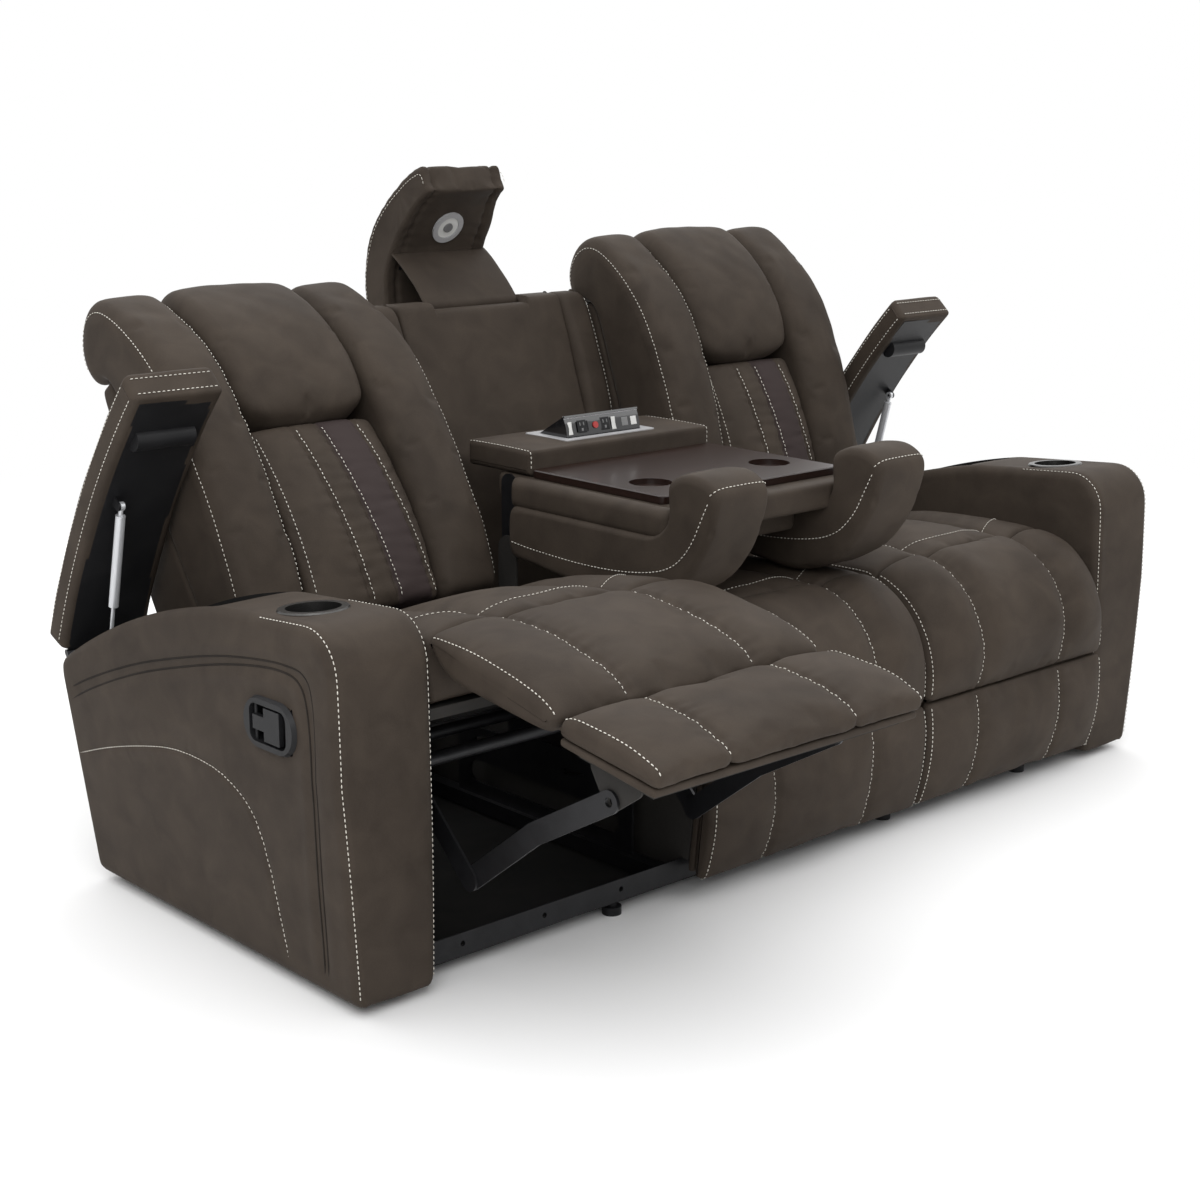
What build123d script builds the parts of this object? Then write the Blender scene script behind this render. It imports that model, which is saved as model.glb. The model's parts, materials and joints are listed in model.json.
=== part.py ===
"""Three-seat reclining sofa with a fold-down centre console, storage arms and a flip-up headrest.

X runs to the sitter's left-hand arm as seen from the front (the viewer's right), Y to the rear, Z up.
Outlines are given as (depth, height): depth is counted rearwards from the front face of the arms.
"""
import os
from math import asin, atan2, cos, degrees, hypot, radians, sin, sqrt

from build123d import *

# Overall layout
WIDTH = 2210.0
ARM_WIDTH = 190.0
CENTRE_WIDTH = 620.0
ARM_FRONT_Y = -365.8
SEAT_GAP = 3.5
SOFT_GAP = 0.3
RUN_GAP = 0.3
PIN_GAP = 0.05

# Arms
ARM_BOTTOM = 18.0
ARM_TOP = (78.0, 648.0)
ARM_NOSE_Z = 570.0
ARM_RIM_FRONT = (338.0, 628.0)
ARM_RIM_REAR = (891.0, 427.0)
ARM_RIM_RISE = 27.0
ARM_FOOT_REAR = (842.0, 18.0)
ARM_LEAN = 30.0
ARM_LEAN_Z = 400.0
ARM_EDGE_R = 20.0
BIN_FRONT = 366.0
BIN_REAR = 846.0
BIN_FLOOR = 330.0
BIN_WALL = 18.0

# Cup holders in the arms
CUP_DEPTH_AT = 188.0
CUP_RING_R = 60.0
CUP_BORE_R = 46.0
CUP_WALL = 1.5
CUP_DEEP = 76.0
CUP_LIP = 3.0
CUP_RING_TAPER = 30.0

# Recliner handles on the outer side of the arms
BEZEL_AT = (177.0, 464.0)
BEZEL_LENGTH = 146.0
BEZEL_HEIGHT = 90.0
BEZEL_PROUD = 8.0
WELL_LENGTH = 104.0
WELL_HEIGHT = 64.0
WELL_DEEP = 32.0
WELL_WALL = 3.0
WELL_CORNER_R = 16.0
BEZEL_TAPER = 25.0
LEVER_PIN_R = 3.0
LEVER_KNUCKLE_R = 7.0
LEVER_STEM_HEIGHT = 24.0
LEVER_PADDLE_LENGTH = 44.0
LEVER_PADDLE_HEIGHT = 56.0
LEVER_THICK = 9.0
LEVER_FINGER_GAP = 20.0
LEVER_SUNK = 1.0
LEVER_END_GAP = 3.0

# Storage lids on the arms
LID_GAP = 4.0
LID_THICK = 58.0
LID_FRONT_CLEAR = 16.0
LID_OPEN = 38.0
LID_INSET = 5.0
LID_BOARD_THICK = 8.0
LID_BOARD_MARGIN = 15.0
LID_EDGE_R = 14.0
GRIP_LENGTH = 116.0
GRIP_WIDTH = 40.0
GRIP_DEEP = 19.0
GRIP_ALONG = 500.0
HINGE_PIN_R = 3.0
HINGE_KNUCKLE_R = 5.5
HINGE_LENGTH = 150.0
HINGE_EAR = 18.0
HINGE_LEAF = 34.0
HINGE_LEAF_THICK = 2.5

# Gas struts under the lids
STRUT_X_INSET = 50.0
STRUT_TOP_ALONG = 352.0
STRUT_TOP_DROP = 16.0
STRUT_FOOT = (800.0, 392.0)
STRUT_BODY_R = 9.0
STRUT_ROD_R = 3.5
STRUT_BODY_LENGTH = 180.0
STRUT_NECK = 18.0
STRUT_NECK_R = 4.5
STRUT_INSERT = 60.0
STRUT_BORE_STOP = 12.0
STRUT_EYE_R = 8.0
STRUT_EYE_THICK = 8.0
STRUT_STUD_R = 3.5
STRUT_TAB = 4.0

# Base rails and feet
RAIL_FRONT = 48.0
RAIL_REAR = 872.0
RAIL_BOTTOM = 27.0
RAIL_HEIGHT = 42.0
RAIL_FLANGE = 34.0
RAIL_THICK = 3.0
RAIL_HOLE_R = 5.0
RAIL_HOLES = 10
CROSS_WIDTH = 28.0
CROSS_HEIGHT = 30.0
FOOT_R = 18.0
FOOT_STEM_R = 9.0
FOOT_PAD_HEIGHT = 15.0
FRONT_FEET_X = (-465.0, 293.0, 750.0)
REAR_FEET_X = (-612.5, 0.0, 612.5)
ARM_FEET_DEPTH = (70.0, 770.0)

# Recliner mechanism, closed
PLATE_THICK = 5.0
PLATE_INSET = 30.0
LINK_GAP = 0.6
BAR_WIDTH = 38.0
BASE_TOP_MARGIN = 16.0
BASE_END = 60.0
BASE_WINDOW = 46.0
BASE_WINDOW_END = 60.0
SLOT_PIN_R = 6.0
SLOT_PIN_FRONT = (330.0, 178.0)
SLOT_PIN_REAR = (600.0, 178.0)
GLIDE = (-130.0, 28.0)
TUBE_R = 12.5
TUBE_AT = ((540.0, 262.0), (610.0, 240.0))
PIVOT_R = 8.0
DRIVE_PIVOT = (262.0, 328.0)
KNEE_CLOSED = (455.0, 210.0)
FOOT_PIVOT = (62.0, 150.0)
SEAT_PIVOT = (560.0, 325.0)
BACK_PIVOT = (670.0, 390.0)
SEAT_TILT = 9.0
THIGH_TURN = 38.0
FOOTREST_TURN = 39.0
LIFT_BEND = 14.0
BRACKET_WIDTH = 34.0
BRACKET_LOW_Z = 104.0
TAB_WIDTH = 32.0
RIGHT_ANGLE = 90.0
HALF_TURN = 180.0

# Seat, thigh and footrest pads, closed
PAN_BOTTOM = 375.0
PAN_THICK = 18.0
PAN_FRONT = 132.0
PAN_REAR = 585.0
PAN_SLOT_WIDTH = 110.0
PAN_RIM = 45.0
PAN_SLOT_PITCH = 170.0
SEAT_FRONT = 127.0
SEAT_REAR = 606.0
SEAT_FRONT_Z = 505.0
SEAT_REAR_Z = 468.0
SEAT_CROWN = 40.0
CENTRE_SEAT_CROWN = 26.0
SEAT_DRAW = 40.0
CHANNEL_OFFSET = 140.0
EDGE_FULL = 0.45
SIDE_FULL = 0.95
SEAM_FULL = 0.78
RIM_FULL = 0.5
THIGH_HEEL_Z = 424.0
SHUT_SEAM = (-28.0, 262.0)
LONG_SEAM = (-51.0, 227.0)
SEAM_THICK = 38.0
SHUT_BULGE = 98.0
LONG_BULGE = 46.0
SEAM_GAP = 4.0
SHUT_TOE = (-8.0, 44.0)
LONG_TOE = (-40.0, 13.0)
FOOTREST_THICK = 44.0
FOOTREST_BULGE = 26.0
BOARD_THICK = 12.0
BOARD_MARGIN = 24.0

# Recliner backs, in the back's own (rearward, upward) axes from the back pivot
BACK_TILT = 20.0
LEFT_RECLINE = 15.0
FRAME_FRONT = 92.0
FRAME_REAR = 140.0
FRAME_BOTTOM = -110.0
FRAME_BOW = 16.0
FRAME_MARGIN = 6.0
PAD_BOTTOM = 78.0
PAD_DRAW = 40.0
EAR_WIDTH = 44.0
BOLSTER_SPLIT = 150.0
BOLSTER_FRONT_RISE = -20.0
BOLSTER_CROWN = 34.0
BOLSTER_LOW = -52.0
CREST = (38.0, 808.0)
ROLL_REAR = (166.0, 756.0)
ROLL_UNDER = (146.0, 676.0)
SHOULDER = (-98.0, 480.0)
LUMBAR_FRONT = -60.0
LUMBAR_BULGE = 26.0
PILLOW_BOTTOM = 476.0
PILLOW_FRONT = -82.0
PILLOW_BULGE = 48.0
PILLOW_RISE = 14.0

# Centre seat and fixed back panel
DECK_SIDE = 16.0
DECK_REAR = 640.0
DECK_MARGIN = 8.0
SEAT_PAD_GAP = 0.4
CENTRE_SEAT_REAR = 562.0
PANEL_TOP_FRONT = (995.0, 1014.0)
PANEL_KNEE = (882.0, 700.0)
PANEL_BOTTOM = 120.0
PANEL_THICK = 58.0
PANEL_MARGIN = 5.0
NOTCH_HALF = 132.0
NOTCH_DEEP = 46.0

# Folded console
CONSOLE_PIVOT = (600.0, 560.0)
WING_OUTER = 294.0
POST_THICK = 4.0
POST_WIDTH = 56.0
CORE_HALF = 252.0
CORE_FRONT = 143.0
CORE_REAR = 640.0
CORE_BOTTOM = 661.0
CORE_THICK = 53.0
CORE_PAD_DROP = 52.0
CORE_PAD_FRONT = 190.0
ARM_BAR_WIDTH = 44.0
WING_INNER = 152.0
WING_REAR = 560.0
WING_BOTTOM = 556.0
CURL_FRONT = (58.0, 592.0)
CURL_TIP = (-20.0, 764.0)
CURL_INNER = (110.0, 770.0)
CURL_HEEL = (106.0, 694.0)
CURL_LOW = (280.0, 524.0)
CURL_CROWN = 24.0
WING_DRAW = 30.0
TRAY_HALF = 247.0
TRAY_FRONT = 166.0
TRAY_REAR = 540.0
TRAY_THICK = 15.0
TRAY_CUP_X = 165.0
TRAY_CUP_DEPTH = 285.0
TRAY_CUP_R = 42.0
TRAY_CUP_DEEP = 11.0
TRAY_CORNER_R = 10.0
TRAY_CHAMFER = 2.0
BLOCK_HALF = 250.0
BLOCK_REAR = 738.0
BLOCK_RISE = 52.0
BLOCK_EDGE_R = 10.0

# Pop-up power unit
POWER_LENGTH = 250.0
POWER_DEPTH = 132.0
POWER_AT = 640.0
POWER_CORNER_R = 8.0
POWER_PROUD = 3.0
POWER_BOX_DEEP = 46.0
POWER_BOX_WALL = 2.0
POWER_GAP = 1.0
FLAP_HALF = 102.0
FLAP_LENGTH = 84.0
FLAP_OPEN = 30.0
FLAP_THICK = 4.0
FLAP_FACE_DROP = 40.0
FLAP_PIN_R = 2.5
SOCKET_WIDTH = 34.0
SOCKET_HEIGHT = 22.0
SOCKET_DEEP = 3.0
SOCKET_X = (-58.0, 14.0)
RESET_R = 7.0
RESET_PROUD = 2.5
RESET_X = -22.0
RESET_DEEP = 6.0
RESET_TRAVEL = 2.0

# Flip-up headrest with reading light
HEADREST_HALF = 122.0
HEADREST_HINGE = (1048.0, 1000.0)
HEADREST_TUBE_R = 13.0
SLEEVE_WALL = 4.0
HEADREST_TIP_OUT = (1059.0, 1301.0)
HEADREST_TIP_IN = (1034.0, 1246.0)
HEADREST_MID_OUT = (1208.0, 1200.0)
HEADREST_MID_IN = (1112.0, 1165.0)
HEADREST_LOW_OUT = (1236.0, 1056.0)
HEADREST_LOW_IN = (1138.0, 1088.0)
HEADREST_DRAW = 12.0
HANGER_THICK = 8.0
HANGER_HALF = 100.0
LIGHT_R = 39.0
LIGHT_PROUD = 5.0
LIGHT_SUNK = 9.0
LIGHT_WINDOW_R = 27.0
LIGHT_BUTTON_R = 11.0
LIGHT_BUTTON_PROUD = 4.0
LIGHT_FACE = 3.0
LIGHT_BUTTON_SUNK = 6.0
LIGHT_BUTTON_TRAVEL = 2.0

# Values worked out from the layout
ARM_OUT = WIDTH / 2
ARM_IN = ARM_OUT - ARM_WIDTH
CENTRE_HALF = CENTRE_WIDTH / 2
SEAT_CENTRE = (ARM_IN + CENTRE_HALF) / 2
SEAT_HALF = (ARM_IN - CENTRE_HALF) / 2
PAD_HALF = SEAT_HALF - SEAT_GAP
CUSHION_TOP_GAP = PAN_BOTTOM + PAN_THICK + SOFT_GAP
RAIL_TOP = RAIL_BOTTOM + RAIL_THICK
CROSS_TOP = RAIL_TOP + CROSS_HEIGHT
BASE_PLATE_S = SEAT_HALF - PLATE_INSET
CARRIAGE_S = BASE_PLATE_S - PLATE_THICK - LINK_GAP
DRIVE_S = CARRIAGE_S - PLATE_THICK - LINK_GAP
LIFT_S = DRIVE_S - PLATE_THICK - LINK_GAP
BRACKET_S = LIFT_S - PLATE_THICK - LINK_GAP
BACK_EAR_S = BASE_PLATE_S
RAIL_HOLE_PITCH = 2 * ARM_IN / RAIL_HOLES
CORE_TOP = CORE_BOTTOM + CORE_THICK
BLOCK_TOP = CORE_TOP + BLOCK_RISE
THIGH_TOP = (SEAT_FRONT - SOFT_GAP, SEAT_FRONT_Z)
THIGH_HEEL = (THIGH_TOP[0], THIGH_HEEL_Z)
FLAP_PIVOT = (POWER_AT + FLAP_LENGTH / 2, BLOCK_TOP + POWER_PROUD - FLAP_THICK)
BLOCK_FRONT = TRAY_REAR + SOFT_GAP
FRAME_TOP = ROLL_UNDER[1] - SOFT_GAP
PAD_REAR = FRAME_FRONT - SOFT_GAP
LUMBAR_HALF = BOLSTER_SPLIT - SEAT_GAP
BOX_HALF = FLAP_HALF + POWER_GAP + POWER_BOX_WALL
BOX_DEPTH = FLAP_LENGTH + 2 * (FLAP_THICK + POWER_GAP + POWER_BOX_WALL)
POST_X = CORE_HALF + SOFT_GAP + POST_THICK + LINK_GAP
CENTRE_PAD_HALF = CENTRE_HALF - SEAT_GAP

os.makedirs("parts", exist_ok=True)


def yz(point):
    """Turn a (depth, height) pair into the (Y, Z) pair of a side view."""
    return (ARM_FRONT_Y + point[0], point[1])


def side_plane(x, pose=Location()):
    """Plane square to X at x, with its axes along Y and Z, carried by a pose."""
    return Plane(pose * Plane.YZ.offset(x).location)


def turned(pivot, angle):
    """Pose that turns by an angle about the line along X through a (depth, height) point."""
    y, z = yz(pivot)
    return Pos(0, y, z) * Rot(X=angle) * Pos(0, -y, -z)


def carried(pose, point):
    """Where a pose takes a (depth, height) point, as (depth, height)."""
    y, z = yz(point)
    moved = (pose * Pos(0, y, z)).position
    return (moved.Y - ARM_FRONT_Y, moved.Z)


def heading(start, end):
    """Angle of the line between two (depth, height) points, in degrees from the rearward axis."""
    return degrees(atan2(end[1] - start[1], end[0] - start[0]))


def reach(start, end):
    """Distance between two (depth, height) points."""
    return hypot(end[0] - start[0], end[1] - start[1])


def save(builder, name):
    """Label a finished piece and write its file."""
    builder.part.label = name
    export_step(builder.part, f"parts/{name}.step")


def bar(start, end, width, mode=Mode.ADD):
    """Add a round-ended bar between two (depth, height) points to the sketch of a side view."""
    (y0, z0), (y1, z1) = yz(start), yz(end)
    with Locations(((y0 + y1) / 2, (z0 + z1) / 2)):
        SlotCenterToCenter(hypot(y1 - y0, z1 - z0), width, rotation=heading(start, end), mode=mode)


def holes(points, radius):
    """Cut round holes at (depth, height) points out of the sketch of a side view."""
    with Locations(*[yz(point) for point in points]):
        Circle(radius, mode=Mode.SUBTRACT)


def bulge_point(start, end, rise):
    """Middle point of an arc that stands a given rise to the right of the line from start to end."""
    (y0, z0), (y1, z1) = start, end
    length = hypot(y1 - y0, z1 - z0)
    return ((y0 + y1) / 2 + rise * (z1 - z0) / length, (z0 + z1) / 2 - rise * (y1 - y0) / length)


def channel_stations(half, seam):
    """Cross-sections of a pad with three channels: (offset along X, fullness from 0 to 1)."""
    side = (half + seam) / 2
    return ((-half, EDGE_FULL), (-side, SIDE_FULL), (-seam, SEAM_FULL), (0, 1), (seam, SEAM_FULL),
            (side, SIDE_FULL), (half, EDGE_FULL))


def plain_stations(low, high):
    """Cross-sections of a pad with one crown between two edges: (offset along X, fullness)."""
    return ((low, RIM_FULL), ((low + high) / 2, 1), (high, RIM_FULL))


def padded(outline, stations, centre, pose):
    """Loft a padded solid along X through outlines that swell with each station's fullness."""
    with BuildPart() as pad:
        for offset_x, fullness in stations:
            with BuildSketch(side_plane(centre + offset_x, pose)):
                with BuildLine():
                    outline(fullness)
                make_face()
        loft()
    return pad


# Rim of the arms: one arc, whose centre also carries the lids
RIM_CHORD = reach(ARM_RIM_FRONT, ARM_RIM_REAR)
RIM_RADIUS = (RIM_CHORD ** 2 / 4 + ARM_RIM_RISE ** 2) / (2 * ARM_RIM_RISE)
RIM_TOP = bulge_point(ARM_RIM_FRONT, ARM_RIM_REAR, -ARM_RIM_RISE)
RIM_CENTRE = bulge_point(ARM_RIM_FRONT, ARM_RIM_REAR, RIM_RADIUS - ARM_RIM_RISE)


def rim_point(angle, height):
    """Point at a height above the rim, at an angle from the rearward axis about the rim's centre."""
    radius = RIM_RADIUS + height
    return (RIM_CENTRE[0] + radius * cos(radians(angle)), RIM_CENTRE[1] + radius * sin(radians(angle)))


RIM_REAR_ANGLE = heading(RIM_CENTRE, ARM_RIM_REAR)
RIM_FRONT_ANGLE = heading(RIM_CENTRE, ARM_RIM_FRONT)
LID_PIVOT = rim_point(RIM_REAR_ANGLE, LID_GAP + HINGE_KNUCKLE_R)
LID_REAR_ANGLE = RIM_REAR_ANGLE + degrees((HINGE_KNUCKLE_R + LID_GAP) / RIM_RADIUS)
LID_FRONT_ANGLE = RIM_FRONT_ANGLE + degrees(LID_FRONT_CLEAR / RIM_RADIUS)
LID_POSE = turned(LID_PIVOT, -LID_OPEN)
LID_IN = ARM_IN + LID_INSET
LID_OUT = ARM_OUT - LID_INSET


def lid_angle(along):
    """Angle on the rim's arc at a distance forward of the lid's hinge."""
    return RIM_REAR_ANGLE + degrees(along / RIM_RADIUS)


STRUT_TOP = rim_point(lid_angle(STRUT_TOP_ALONG), LID_GAP - STRUT_TOP_DROP)
STRUT_TOP_OPEN = carried(LID_POSE, STRUT_TOP)
STRUT_LENGTH_OPEN = reach(STRUT_TOP_OPEN, STRUT_FOOT)
STRUT_HEADING_OPEN = heading(STRUT_TOP_OPEN, STRUT_FOOT)
ARM_TOP_SLOPE = heading(ARM_TOP, ARM_RIM_FRONT)
CUP_SEAT = (CUP_DEPTH_AT, ARM_TOP[1] + (CUP_DEPTH_AT - ARM_TOP[0]) * sin(radians(ARM_TOP_SLOPE))
            / cos(radians(ARM_TOP_SLOPE)))
ARM_MID = (ARM_IN + ARM_OUT) / 2
STRUT_X = ARM_OUT - STRUT_X_INSET
SIDES = ((-1, "left"), (1, "right"))


def cup_plane(side):
    """Plane of a cup holder's ring, lying on the sloping top of an arm."""
    y, z = yz(CUP_SEAT)
    slope = radians(ARM_TOP_SLOPE)
    return Plane(origin=(side * ARM_MID, y, z), x_dir=(1, 0, 0), z_dir=(0, -sin(slope), cos(slope)))


def bezel_plane(side):
    """Plane of a recliner handle on the outer face of an arm: x forward or rearward, y up."""
    y, z = yz(BEZEL_AT)
    return Plane(origin=(side * ARM_OUT, y, z), x_dir=(0, side, 0), z_dir=(side, 0, 0))


def make_arm(side):
    """Upholstered arm with its storage well, cup bore and handle pocket."""
    diagonal = 1 / sqrt(2)
    bulge_nose = (ARM_TOP[0] * (1 - diagonal), ARM_NOSE_Z + (ARM_TOP[1] - ARM_NOSE_Z) * diagonal)
    with BuildPart() as arm:
        with BuildSketch(side_plane(side * ARM_MID)):
            with BuildLine():
                Line(yz((0, ARM_BOTTOM)), yz((0, ARM_NOSE_Z)))
                ThreePointArc(yz((0, ARM_NOSE_Z)), yz(bulge_nose), yz(ARM_TOP))
                Line(yz(ARM_TOP), yz(ARM_RIM_FRONT))
                ThreePointArc(yz(ARM_RIM_FRONT), yz(RIM_TOP), yz(ARM_RIM_REAR))
                Line(yz(ARM_RIM_REAR), yz(ARM_FOOT_REAR))
                Line(yz(ARM_FOOT_REAR), yz((0, ARM_BOTTOM)))
            make_face()
        extrude(amount=ARM_WIDTH / 2, both=True)
        with BuildSketch(Plane.XZ.offset(-ARM_FRONT_Y)):
            with BuildLine():
                Polyline((side * ARM_OUT, ARM_LEAN_Z), (side * ARM_OUT, ARM_BOTTOM),
                         (side * (ARM_OUT - ARM_LEAN), ARM_BOTTOM), close=True)
            make_face()
        extrude(amount=-ARM_RIM_REAR[0], mode=Mode.SUBTRACT)
        rounded = arm.edges().filter_by(GeomType.CIRCLE).filter_by_position(
            Axis.Y, ARM_FRONT_Y, ARM_FRONT_Y + ARM_TOP[0])
        fillet(rounded, ARM_EDGE_R)
        with BuildSketch(side_plane(side * ARM_MID)):
            with BuildLine():
                Polyline(yz((BIN_FRONT, ARM_TOP[1])), yz((BIN_FRONT, BIN_FLOOR)), yz((BIN_REAR, BIN_FLOOR)),
                         yz((BIN_REAR, ARM_TOP[1])), close=True)
            make_face()
        extrude(amount=ARM_WIDTH / 2 - BIN_WALL, both=True, mode=Mode.SUBTRACT)
        with BuildSketch(cup_plane(side)):
            Circle(CUP_BORE_R + CUP_WALL + SOFT_GAP)
        extrude(amount=-CUP_DEEP - SOFT_GAP, mode=Mode.SUBTRACT)
        with BuildSketch(bezel_plane(side)):
            RectangleRounded(WELL_LENGTH + 2 * WELL_WALL + 2 * SOFT_GAP, WELL_HEIGHT + 2 * WELL_WALL
                             + 2 * SOFT_GAP, WELL_WALL + SOFT_GAP)
        extrude(amount=-WELL_DEEP - WELL_WALL - SOFT_GAP, mode=Mode.SUBTRACT)
    return arm


def make_cup_holders():
    """Pressed steel cups with a flat ring that rests on the top of each arm."""
    with BuildPart() as cups:
        for side, _ in SIDES:
            with BuildSketch(cup_plane(side)):
                Circle(CUP_RING_R)
            extrude(amount=CUP_LIP, taper=CUP_RING_TAPER)
            with BuildSketch(cup_plane(side)):
                Circle(CUP_BORE_R + CUP_WALL)
            extrude(amount=-CUP_DEEP)
            with BuildSketch(cup_plane(side).offset(CUP_LIP)):
                Circle(CUP_BORE_R)
            extrude(amount=CUP_WALL - CUP_DEEP - CUP_LIP, mode=Mode.SUBTRACT)
    return cups


def lever_pin_place(side):
    """Centre of a handle's upright pin in plan, as (X, Y)."""
    y, _ = yz(BEZEL_AT)
    x = ARM_OUT + BEZEL_PROUD - LEVER_KNUCKLE_R - LEVER_SUNK
    return (side * x, y + WELL_LENGTH / 2 - LEVER_KNUCKLE_R - LEVER_END_GAP)


def make_lever_bezels():
    """Moulded handle surrounds: a rounded plate, a finger well behind it and an upright pin."""
    with BuildPart() as bezels:
        for side, _ in SIDES:
            with BuildSketch(bezel_plane(side)):
                RectangleRounded(BEZEL_LENGTH, BEZEL_HEIGHT, BEZEL_HEIGHT / 2 - SOFT_GAP)
            extrude(amount=BEZEL_PROUD, taper=BEZEL_TAPER)
            with BuildSketch(bezel_plane(side)):
                RectangleRounded(WELL_LENGTH + 2 * WELL_WALL, WELL_HEIGHT + 2 * WELL_WALL, WELL_WALL)
            extrude(amount=-WELL_DEEP - WELL_WALL)
            with BuildSketch(bezel_plane(side).offset(BEZEL_PROUD)):
                RectangleRounded(WELL_LENGTH, WELL_HEIGHT, WELL_CORNER_R)
            extrude(amount=-WELL_DEEP - BEZEL_PROUD, mode=Mode.SUBTRACT)
            with BuildSketch(Plane.XY.offset(BEZEL_AT[1])):
                with Locations(lever_pin_place(side)):
                    Circle(LEVER_PIN_R)
            extrude(amount=WELL_HEIGHT / 2 + WELL_WALL / 2, both=True)
    return bezels


def make_lever(side):
    """T-shaped pull: a knuckle on the pin, a narrow stem and a wide paddle."""
    pin_x, pin_y = lever_pin_place(side)
    face_x = side * (ARM_OUT + BEZEL_PROUD - LEVER_SUNK)
    stem_end = ARM_FRONT_Y + BEZEL_AT[0] - WELL_LENGTH / 2 + LEVER_FINGER_GAP + LEVER_PADDLE_LENGTH
    with BuildPart() as lever:
        with BuildSketch(Plane.XY.offset(BEZEL_AT[1])):
            with Locations((pin_x, pin_y)):
                Circle(LEVER_KNUCKLE_R)
            with BuildLine():
                Polyline((face_x, pin_y), (face_x, stem_end), (face_x - side * LEVER_THICK, stem_end),
                         (face_x - side * LEVER_THICK, pin_y), close=True)
            make_face()
        extrude(amount=LEVER_STEM_HEIGHT / 2, both=True)
        with BuildSketch(Plane.XY.offset(BEZEL_AT[1])):
            with BuildLine():
                Polyline((face_x, stem_end), (face_x, stem_end - LEVER_PADDLE_LENGTH),
                         (face_x - side * LEVER_THICK, stem_end - LEVER_PADDLE_LENGTH),
                         (face_x - side * LEVER_THICK, stem_end), close=True)
            make_face()
        extrude(amount=LEVER_PADDLE_HEIGHT / 2, both=True)
        with BuildSketch(Plane.XY.offset(BEZEL_AT[1])):
            with Locations((pin_x, pin_y)):
                Circle(LEVER_PIN_R + PIN_GAP)
        extrude(amount=LEVER_STEM_HEIGHT / 2, both=True, mode=Mode.SUBTRACT)
    return lever


def rim_band(rear_angle, front_angle, low, high):
    """Add a face that follows the rim's arc between two angles and two heights above it."""
    middle = (rear_angle + front_angle) / 2
    with BuildLine() as outline:
        ThreePointArc(yz(rim_point(rear_angle, low)), yz(rim_point(middle, low)),
                      yz(rim_point(front_angle, low)))
        Line(yz(rim_point(front_angle, low)), yz(rim_point(front_angle, high)))
        ThreePointArc(yz(rim_point(front_angle, high)), yz(rim_point(middle, high)),
                      yz(rim_point(rear_angle, high)))
        Line(yz(rim_point(rear_angle, high)), yz(rim_point(rear_angle, low)))
    make_face(outline.edges())


BOARD_FRONT_ANGLE = LID_FRONT_ANGLE - degrees(LID_BOARD_MARGIN / RIM_RADIUS)


def make_lid_pad(side):
    """Padded lid that follows the arm's rim, with a pocket for its board."""
    with BuildPart() as pad:
        with BuildSketch(side_plane(side * ARM_MID, LID_POSE)):
            rim_band(LID_REAR_ANGLE, LID_FRONT_ANGLE, LID_GAP, LID_GAP + LID_THICK)
        extrude(amount=(LID_OUT - LID_IN) / 2, both=True)
        fillet(pad.edges().filter_by(Axis.X).group_by(Axis.Z)[-1], LID_EDGE_R)
        with BuildSketch(side_plane(side * ARM_MID, LID_POSE)):
            rim_band(LID_REAR_ANGLE, BOARD_FRONT_ANGLE, LID_GAP, LID_GAP + LID_BOARD_THICK)
        extrude(amount=(LID_OUT - LID_IN) / 2 - LID_BOARD_MARGIN, both=True, mode=Mode.SUBTRACT)
    return pad


def make_lid_board(side):
    """Moulded underside of a lid with its hinge knuckle, half-round grip and the strut's upper stud."""
    stud_x = side * (STRUT_X + STRUT_EYE_THICK / 2 + LINK_GAP)
    grip_rear = lid_angle(GRIP_ALONG - GRIP_WIDTH / 2)
    grip_front = lid_angle(GRIP_ALONG + GRIP_WIDTH / 2)
    grip_middle = lid_angle(GRIP_ALONG)
    with BuildPart() as board:
        with BuildSketch(side_plane(side * ARM_MID, LID_POSE)):
            rim_band(LID_REAR_ANGLE, BOARD_FRONT_ANGLE, LID_GAP, LID_GAP + LID_BOARD_THICK)
        extrude(amount=(LID_OUT - LID_IN) / 2 - LID_BOARD_MARGIN, both=True)
        with BuildSketch(side_plane(side * ARM_MID, LID_POSE)):
            with Locations(yz(LID_PIVOT)):
                Circle(HINGE_KNUCKLE_R)
            rim_band(RIM_REAR_ANGLE, LID_REAR_ANGLE, LID_GAP + HINGE_LEAF_THICK, LID_GAP + LID_BOARD_THICK)
        extrude(amount=HINGE_LENGTH / 2 - HINGE_EAR - RUN_GAP, both=True)
        with BuildSketch(side_plane(side * ARM_MID, LID_POSE)):
            with Locations(yz(LID_PIVOT)):
                Circle(HINGE_PIN_R + PIN_GAP)
        extrude(amount=HINGE_LENGTH / 2, both=True, mode=Mode.SUBTRACT)
        with BuildSketch(side_plane(stud_x, LID_POSE)):
            bar(STRUT_TOP, rim_point(lid_angle(STRUT_TOP_ALONG), LID_GAP + LID_BOARD_THICK - STRUT_EYE_R),
                2 * STRUT_EYE_R)
        extrude(amount=side * STRUT_TAB)
        with BuildSketch(side_plane(stud_x, LID_POSE)):
            with Locations(yz(STRUT_TOP)):
                Circle(STRUT_STUD_R)
        extrude(amount=-side * (STRUT_EYE_THICK + LINK_GAP))
        with BuildSketch(side_plane(side * ARM_MID, LID_POSE)):
            with BuildLine():
                ThreePointArc(yz(rim_point(grip_rear, LID_GAP)), yz(rim_point(grip_middle, LID_GAP)),
                              yz(rim_point(grip_front, LID_GAP)))
                ThreePointArc(yz(rim_point(grip_front, LID_GAP)),
                              yz(rim_point(grip_middle, LID_GAP - GRIP_DEEP)),
                              yz(rim_point(grip_rear, LID_GAP)))
            make_face()
        extrude(amount=GRIP_LENGTH / 2, both=True)
    return board


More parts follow.
